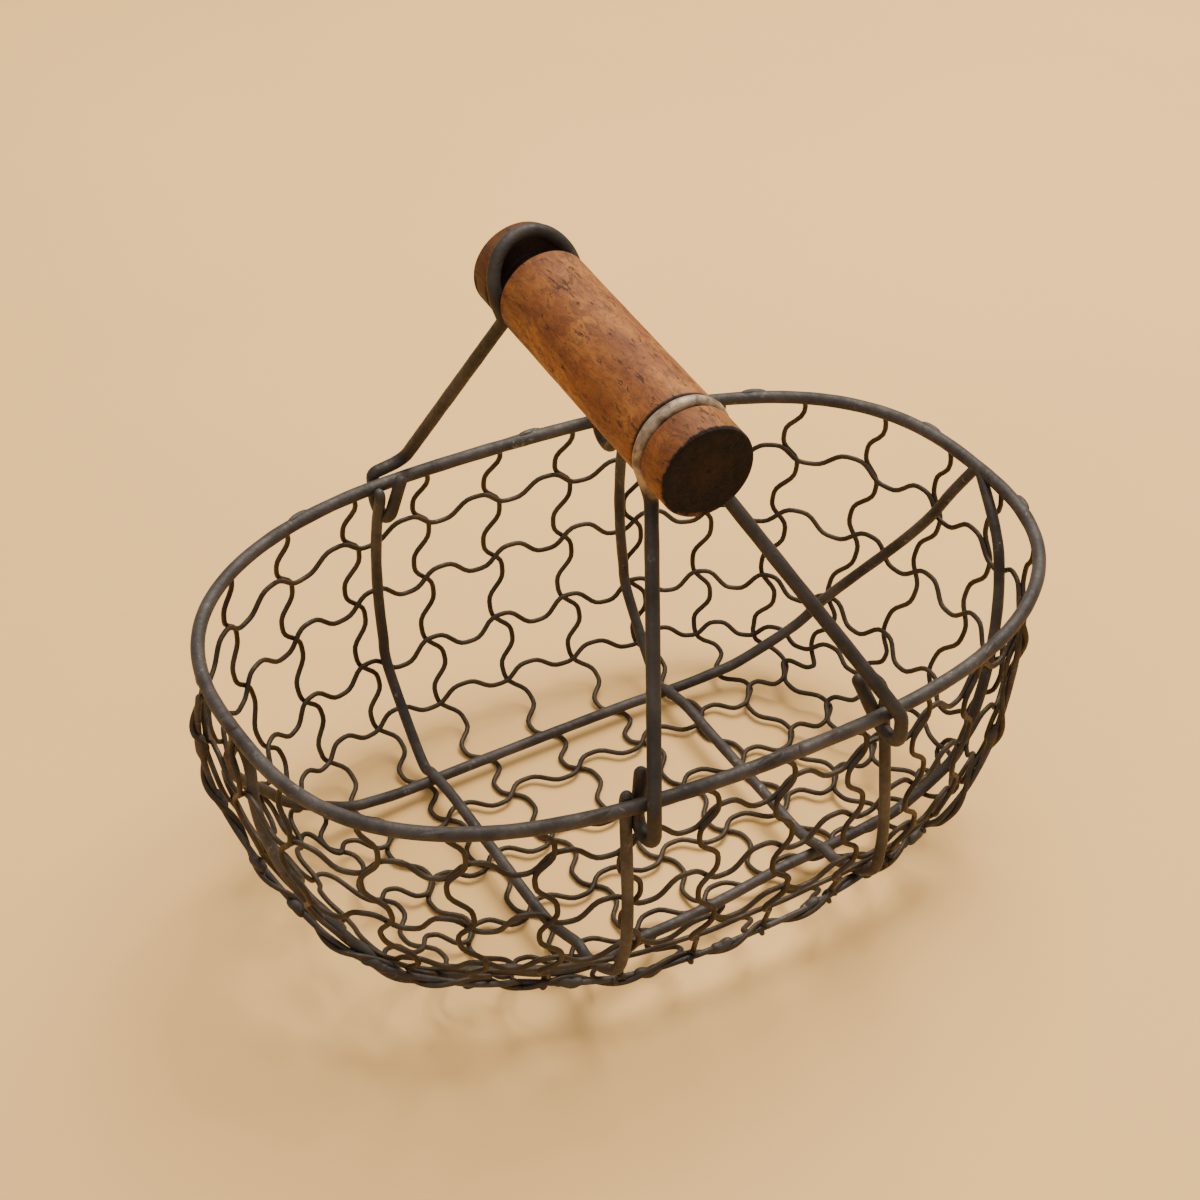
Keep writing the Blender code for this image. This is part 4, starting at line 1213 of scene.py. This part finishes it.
def bail_foot(hook, outward):
    """Corners of a hook, from its tip inside the rim to the shoulder outside it."""
    x, drop, tip = hook
    centre_y = rim(place_at_x(rim, x, outward < 0)).y
    arm = RIM_RADIUS + HOOK_PLAY + BAIL_RADIUS
    inner, outer = centre_y - outward * arm, centre_y + outward * arm
    low = RIM_HEIGHT - drop - arm
    return [Vector((x, inner, RIM_HEIGHT)) + Vector(tip), Vector((x, inner, low)),
            Vector((x, outer, low)), Vector((x, outer, RIM_HEIGHT + HOOK_SHOULDER))], arm


def bail_leg(hook, outward, run, pinch, loop_end):
    """One leg of a bail, from the tip of its hook up to the end of its loop."""
    foot, arm = bail_foot(hook, outward)
    corners, radii = list(foot), [arm, arm]
    if run:
        corners.append(foot[-1] + Vector((run, 0, BACK_LEFT_RISE)))
        radii.append(BAIL_RADIUS)
    radii.append(LEG_BEND_RADIUS)
    corners += [pinch, loop_end]
    radii.append(PINCH_BEND_RADIUS)
    return rounded(corners, radii)


def bail_loop(centre, radius, lean, wrap):
    """The loop of a bail over the neck of the grip, from left to right."""
    loop = []
    facets = 40
    for i in range(facets + 1):
        angle = math.pi + wrap - (math.pi + 2 * wrap) * i / facets
        loop.append(centre + Vector((radius * math.cos(angle), lean * max(0, math.sin(angle)),
                                     radius * math.sin(angle))))
    return loop


def bail_line(outward, centre, radius, lean, half_width, drop, hooks, left_run):
    """The line of a bail, from the tip of its left hook round the loop to the tip of its right one."""
    centre = Vector(centre)
    loop = bail_loop(centre, radius, lean, LOOP_WRAP)
    halves = []
    for side, hook, loop_end, run in ((-1, hooks[0], loop[0], left_run), (1, hooks[1], loop[-1], 0)):
        pinch = centre + Vector((side * half_width, 0, -drop))
        halves.append(bail_leg(hook, outward, run, pinch, loop_end))
    return halves[0] + loop[1:-1] + halves[1][::-1]


def draw_bails(wires):
    """The two hooked bails."""
    for number, (name, shape) in enumerate(BAILS.items()):
        frame_wire(f"{name}_wire", bail_line(*shape), wires.bail_radius, BAIL_SEED + number, name,
                   body_name=name, iron="worn_iron", step=0.7 * MM)


# Joints on the rim and the seam

def rim_outward(along, angle):
    """Centre of the rim at a place and the direction square to it at an angle from level."""
    across = (rim(along + 0.02) - rim(along - 0.02)).normalized()
    level = Vector((across.y, -across.x, 0))
    tilt = math.radians(angle)
    return rim(along), level * math.cos(tilt) + Vector((0, 0, math.sin(tilt)))


def draw_rim_lumps(wires):
    """Hammered ends of mesh wires that are wound over the rim."""
    parts = RIM_PARTS / LENGTHS[-1]
    for number, (along, angle, length, height) in enumerate(RIM_LUMPS):
        points, radii = [], []
        steps = 14
        for i in range(steps + 1):
            share = 2 * i / steps - 1
            place, out = rim_outward(along + share * length * MM / 2 * parts, angle + LUMP_TWIST * share)
            swell = math.sqrt(max(0.02, 1 - abs(share) ** 2.5))
            points.append(place + out * (wires.rim_radius - LUMP_DEPTH))
            radii.append((height * MM + LUMP_DEPTH) * swell)
        lump = draw_wire(f"rim_wrap_{number + 1}", points, radii, sides=14)
        dress(lump, "basket", "frame_wire", "black_iron")


def draw_rim_lap(wires):
    """The lap where the rim is closed."""
    first, last, angle, height = RIM_LAP
    points = []
    steps = 40
    for i in range(steps + 1):
        share = i / steps
        place, out = rim_outward(first + (last - first) * share, angle)
        points.append(place + out * height * MM * (1 - 0.8 * ease(share * 1.3 - 0.3)))
    lap = draw_wire("rim_lap", points, radii_along(points, wires.rim_radius * 0.93, 31), sides=16)
    dress(lap, "basket", "frame_wire", "black_iron")


def draw_seam_knots(wires):
    """Ends of wire hammered flat round the seam."""
    step = 0.5 * MM
    line = spread(seam_line(), step)
    for number, share in enumerate(SEAM_KNOTS):
        half = round(KNOT_LENGTH * (0.85 + 0.3 * noise.noise(Vector((number, 0.5, 0)))) / step / 2)
        middle = min(max(int(share * len(line)), half), len(line) - half - 1)
        points, radii = [], []
        for i in range(-half, half + 1):
            place = line[middle + i]
            swell = 1 - abs(i / half) ** 3
            lean = Vector((math.sin(number * 2.0), math.cos(number * 2.0), math.sin(i * 0.5 + number)))
            points.append(place + lean * (KNOT_TWIST * swell))
            full = wires.seam_radius - KNOT_TIP_RADIUS + KNOT_SWELL
            radii.append(KNOT_TIP_RADIUS + full * math.sqrt(max(0, swell)))
        knot = draw_wire(f"seam_knot_{number + 1}", points, radii, sides=12)
        dress(knot, "basket", "frame_wire", "black_iron")


# Grip

def groove_profile(groove):
    """Radii and places of a turned groove with worn edges."""
    start, stop, neck = groove
    worn = NECK_EASE
    return [(GRIP_RADIUS, start - 2 * worn), (GRIP_RADIUS - worn * 0.25, start - worn),
            (GRIP_RADIUS - worn, start - worn * 0.2), (GRIP_RADIUS - 2 * worn, start),
            (neck + worn, start + worn * 0.15), (neck, start + worn),
            (neck, stop - worn), (neck + worn, stop - worn * 0.15),
            (GRIP_RADIUS - 2 * worn, stop), (GRIP_RADIUS - worn, stop + worn * 0.2),
            (GRIP_RADIUS - worn * 0.25, stop + worn), (GRIP_RADIUS, stop + 2 * worn)]


def grip_profile():
    """Radii and places along the grip, from the near face to the far one."""
    worn = GRIP_CHAMFER
    profile = [(0.0, NEAR_FACE_Y + 0.5 * MM), (GRIP_RADIUS * 0.5, NEAR_FACE_Y + 0.3 * MM),
               (GRIP_RADIUS - 2 * worn, NEAR_FACE_Y + 0.05 * MM), (GRIP_RADIUS - worn, NEAR_FACE_Y),
               (GRIP_RADIUS - worn * 0.35, NEAR_FACE_Y + worn * 0.25),
               (GRIP_RADIUS, NEAR_FACE_Y + worn)]
    profile += groove_profile(NEAR_GROOVE)
    count = 12
    for i in range(1, count):
        y = NEAR_GROOVE[1] + 2 * NECK_EASE + (FAR_GROOVE[0] - NEAR_GROOVE[1] - 4 * NECK_EASE) * i / count
        profile.append((GRIP_RADIUS - GRIP_DENT * abs(noise.noise(Vector((y * 60, 0, 0)))), y))
    profile += groove_profile(FAR_GROOVE)
    profile += [(GRIP_RADIUS, FAR_FACE_Y - worn), (GRIP_RADIUS - worn * 0.35, FAR_FACE_Y - worn * 0.25),
                (GRIP_RADIUS - worn, FAR_FACE_Y), (0.0, FAR_FACE_Y)]
    return profile


def draw_grip(grip):
    """The turned grip: a profile extruded point by point, spun round its axis and tilted."""
    profile = grip_profile()
    bpy.ops.object.select_all(action="DESELECT")
    bpy.ops.mesh.primitive_plane_add(size=MM, location=(0, 0, 0))
    piece = bpy.context.object
    piece.name = "grip_turning"
    bpy.ops.object.mode_set(mode="EDIT")
    bpy.ops.mesh.select_all(action="SELECT")
    bpy.ops.mesh.merge(type="CENTER")
    bpy.ops.transform.translate(value=(GRIP_X + profile[0][0], profile[0][1], GRIP_HEIGHT))
    for (radius, y), (next_radius, next_y) in zip(profile, profile[1:]):
        bpy.ops.mesh.extrude_region_move(
            TRANSFORM_OT_translate={"value": (next_radius - radius, next_y - y, 0)})
    bpy.ops.mesh.select_all(action="SELECT")
    bpy.ops.mesh.spin(steps=grip.facets, angle=2 * math.pi, center=(GRIP_X, 0, GRIP_HEIGHT), axis=(0, 1, 0))
    bpy.ops.mesh.select_all(action="SELECT")
    bpy.ops.mesh.remove_doubles(threshold=MM / 50)
    bpy.ops.mesh.normals_make_consistent(inside=False)
    bpy.ops.transform.rotate(value=-GRIP_RISE, orient_axis="X", center_override=NEAR_LOOP_CENTRE)
    bpy.ops.transform.rotate(value=GRIP_SWERVE, orient_axis="Z", center_override=NEAR_LOOP_CENTRE)
    bpy.ops.object.mode_set(mode="OBJECT")
    bpy.ops.object.shade_smooth_by_angle(angle=math.radians(40))
    dress(piece, "grip", "grip_wood", "old_wood", "handle_grip")


# Stage

def set_floor(stage):
    """The pale floor."""
    bpy.ops.object.select_all(action="DESELECT")
    bpy.ops.mesh.primitive_plane_add(size=stage.floor_size, location=(0, 0, -0.1 * MM))
    ground = bpy.context.object
    ground.name = "ground"
    f = Finish("pale_ground")
    shade = f.step(f.grain(3.0, 3.0, 0.5), 0.3, 0.7)
    low = [channel * 0.94 for channel in stage.floor_colour]
    ground.data.materials.append(f.feed(Base_Color=f.blend(shade, low, stage.floor_colour), Roughness=0.85))


def set_lights(stage):
    """Soft light all round, a key light and a weak fill light."""
    world = bpy.data.worlds.new("soft_room")
    bpy.context.scene.world = world
    world.use_nodes = True
    background = world.node_tree.nodes["Background"]
    background.inputs["Color"].default_value = ROOM_COLOUR
    background.inputs["Strength"].default_value = stage.room_strength
    for name, (place, size), power_w in (("key_light", KEY_LIGHT, stage.key_power),
                                         ("fill_light", FILL_LIGHT, stage.fill_power)):
        bpy.ops.object.light_add(type="AREA", location=place)
        lamp = bpy.context.object
        lamp.name = name
        lamp.data.size = size
        lamp.data.energy = power_w
        lamp.data.color = LAMP_COLOUR
        aim = Vector((0, 0, RIM_HEIGHT)) - Vector(place)
        lamp.rotation_euler = aim.to_track_quat("-Z", "Y").to_euler()


def set_camera(_stage):
    """The camera at the photograph's angle, aimed at the middle of the rim."""
    back = Vector((math.sin(VIEW_AZIMUTH) * math.cos(VIEW_ELEVATION),
                   -math.cos(VIEW_AZIMUTH) * math.cos(VIEW_ELEVATION), math.sin(VIEW_ELEVATION)))
    level = (-back).cross(Vector((0, 0, 1))).normalized()
    upright = level.cross(-back)
    right = level * math.cos(VIEW_ROLL) + upright * math.sin(VIEW_ROLL)
    up = upright * math.cos(VIEW_ROLL) - level * math.sin(VIEW_ROLL)
    bpy.ops.object.camera_add(location=Vector((0, 0, RIM_HEIGHT)) + back * VIEW_DISTANCE)
    camera = bpy.context.object
    camera.name = "camera"
    camera.rotation_euler = Matrix((right, up, back)).transposed().to_euler()
    camera.data.lens = VIEW_LENS
    camera.data.shift_x, camera.data.shift_y = VIEW_SHIFT
    camera.data.clip_start = 10 * MM
    bpy.context.scene.camera = camera


# Settings, operators and panel

class BasketWires(PropertyGroup):
    """Sizes of the wires."""

    rim_radius: FloatProperty(name="Rim radius", description="Radius of the rim wire",
                              default=RIM_RADIUS, unit="LENGTH")
    rib_radius: FloatProperty(name="Rib radius", description="Radius of the rib wires",
                              default=RIB_RADIUS, unit="LENGTH")
    seam_radius: FloatProperty(name="Seam radius", description="Radius of the seam wire",
                               default=SEAM_RADIUS * 0.9, unit="LENGTH")
    bail_radius: FloatProperty(name="Bail radius", description="Radius of the bail wires",
                               default=BAIL_RADIUS * 1.1, unit="LENGTH")
    mesh_radius: FloatProperty(name="Mesh radius", description="Radius of the mesh wires",
                               default=MESH_RADIUS, unit="LENGTH")
    points_to_cell: IntProperty(name="Points to a cell", description="Points of a mesh row in each cell",
                                default=16, min=4)
    lacing_steps: IntProperty(name="Lacing steps", description="Points in each turn of the lacing wire",
                              default=26, min=8)


class BasketGrip(PropertyGroup):
    """Shape of the grip."""

    facets: IntProperty(name="Facets", description="Steps that the grip is spun in", default=96, min=16)


class BasketStage(PropertyGroup):
    """Floor and lights."""

    floor_size: FloatProperty(name="Floor size", description="Side of the floor",
                              default=12.0, unit="LENGTH")
    floor_colour: FloatVectorProperty(name="Floor colour", description="Colour of the floor",
                                      default=(0.94, 0.555, 0.185), subtype="COLOR")
    room_strength: FloatProperty(name="Room light", description="Strength of the light all round",
                                 default=0.62)
    key_power: FloatProperty(name="Key light", description="Power of the main light in watts",
                             default=32.0)
    fill_power: FloatProperty(name="Fill light", description="Power of the fill light in watts",
                              default=3.5)


class BasketOperator(Operator):
    """Draws a group of pieces, and stops with an error where it can't."""

    bl_options = {"REGISTER", "UNDO"}
    settings = "basket_wires"
    draw_pieces = ()

    def execute(self, context):
        """Draw the pieces."""
        before = len(bpy.data.objects)
        for draw_piece in self.draw_pieces:
            draw_piece(getattr(context.scene, self.settings))
        if len(bpy.data.objects) == before:
            self.report({"ERROR"}, "No piece was made")
            return {"CANCELLED"}
        return {"FINISHED"}


class BASKET_OT_rim(BasketOperator):
    """Draw the rim"""

    bl_idname = "basket.rim"
    bl_label = "Rim"
    draw_pieces = (draw_rim,)


class BASKET_OT_ribs(BasketOperator):
    """Draw the cross ribs and the lengthwise ribs"""

    bl_idname = "basket.ribs"
    bl_label = "Ribs"
    draw_pieces = (draw_cross_ribs, draw_long_ribs)


class BASKET_OT_seam(BasketOperator):
    """Draw the seam and its lacing"""

    bl_idname = "basket.seam"
    bl_label = "Seam"
    draw_pieces = (draw_seam,)


class BASKET_OT_mesh_rows(BasketOperator):
    """Draw the crimped wires round the wall"""

    bl_idname = "basket.mesh_rows"
    bl_label = "Mesh rows"
    draw_pieces = (draw_mesh_rows,)


class BASKET_OT_mesh_wires(BasketOperator):
    """Draw the crimped wires down the wall and over the floor"""

    bl_idname = "basket.mesh_wires"
    bl_label = "Mesh wires"
    draw_pieces = (draw_hung_wires, draw_front_wires, draw_end_wires)


class BASKET_OT_joints(BasketOperator):
    """Draw the joints on the rim and the knots on the seam"""

    bl_idname = "basket.joints"
    bl_label = "Joints"
    draw_pieces = (draw_rim_lumps, draw_rim_lap, draw_seam_knots)


class BASKET_OT_bails(BasketOperator):
    """Draw the bails"""

    bl_idname = "basket.bails"
    bl_label = "Bails"
    draw_pieces = (draw_bails,)


class BASKET_OT_grip(BasketOperator):
    """Turn the grip"""

    bl_idname = "basket.grip"
    bl_label = "Grip"
    settings = "basket_grip"
    draw_pieces = (draw_grip,)


class BASKET_OT_stage(BasketOperator):
    """Set the floor, the lights and the camera"""

    bl_idname = "basket.stage"
    bl_label = "Stage"
    settings = "basket_stage"
    draw_pieces = (set_floor, set_lights, set_camera)


OPERATORS = (BASKET_OT_rim, BASKET_OT_ribs, BASKET_OT_seam, BASKET_OT_mesh_rows, BASKET_OT_mesh_wires,
             BASKET_OT_joints, BASKET_OT_bails, BASKET_OT_grip, BASKET_OT_stage)
GROUPS = {"basket_wires": BasketWires, "basket_grip": BasketGrip, "basket_stage": BasketStage}


class BASKET_PT_panel(Panel):
    """Sidebar panel with the steps in order"""

    bl_label = "Wire Storage Basket"
    bl_idname = "BASKET_PT_panel"
    bl_space_type = "VIEW_3D"
    bl_region_type = "UI"
    bl_category = "Basket"

    def draw(self, context):
        """List the settings and the steps."""
        for name in GROUPS:
            group = getattr(context.scene, name)
            for setting in group.__annotations__:
                self.layout.prop(group, setting)
        for operator in OPERATORS:
            self.layout.operator(operator.bl_idname)


def register():
    """Register the groups, the operators and the panel."""
    for name, group in GROUPS.items():
        bpy.utils.register_class(group)
        setattr(bpy.types.Scene, name, PointerProperty(type=group))
    for kind in (*OPERATORS, BASKET_PT_panel):
        bpy.utils.register_class(kind)


def unregister():
    """Take the panel, the operators and the groups out again."""
    for kind in (BASKET_PT_panel, *reversed(OPERATORS)):
        bpy.utils.unregister_class(kind)
    for name, group in GROUPS.items():
        delattr(bpy.types.Scene, name)
        bpy.utils.unregister_class(group)


def main():
    """Draw every piece in order."""
    register()
    bpy.ops.basket.rim()
    bpy.ops.basket.ribs()
    bpy.ops.basket.seam()
    bpy.ops.basket.mesh_rows()
    bpy.ops.basket.mesh_wires()
    bpy.ops.basket.joints()
    bpy.ops.basket.bails()
    bpy.ops.basket.grip()
    bpy.ops.basket.stage()


if __name__ == "__main__":
    main()
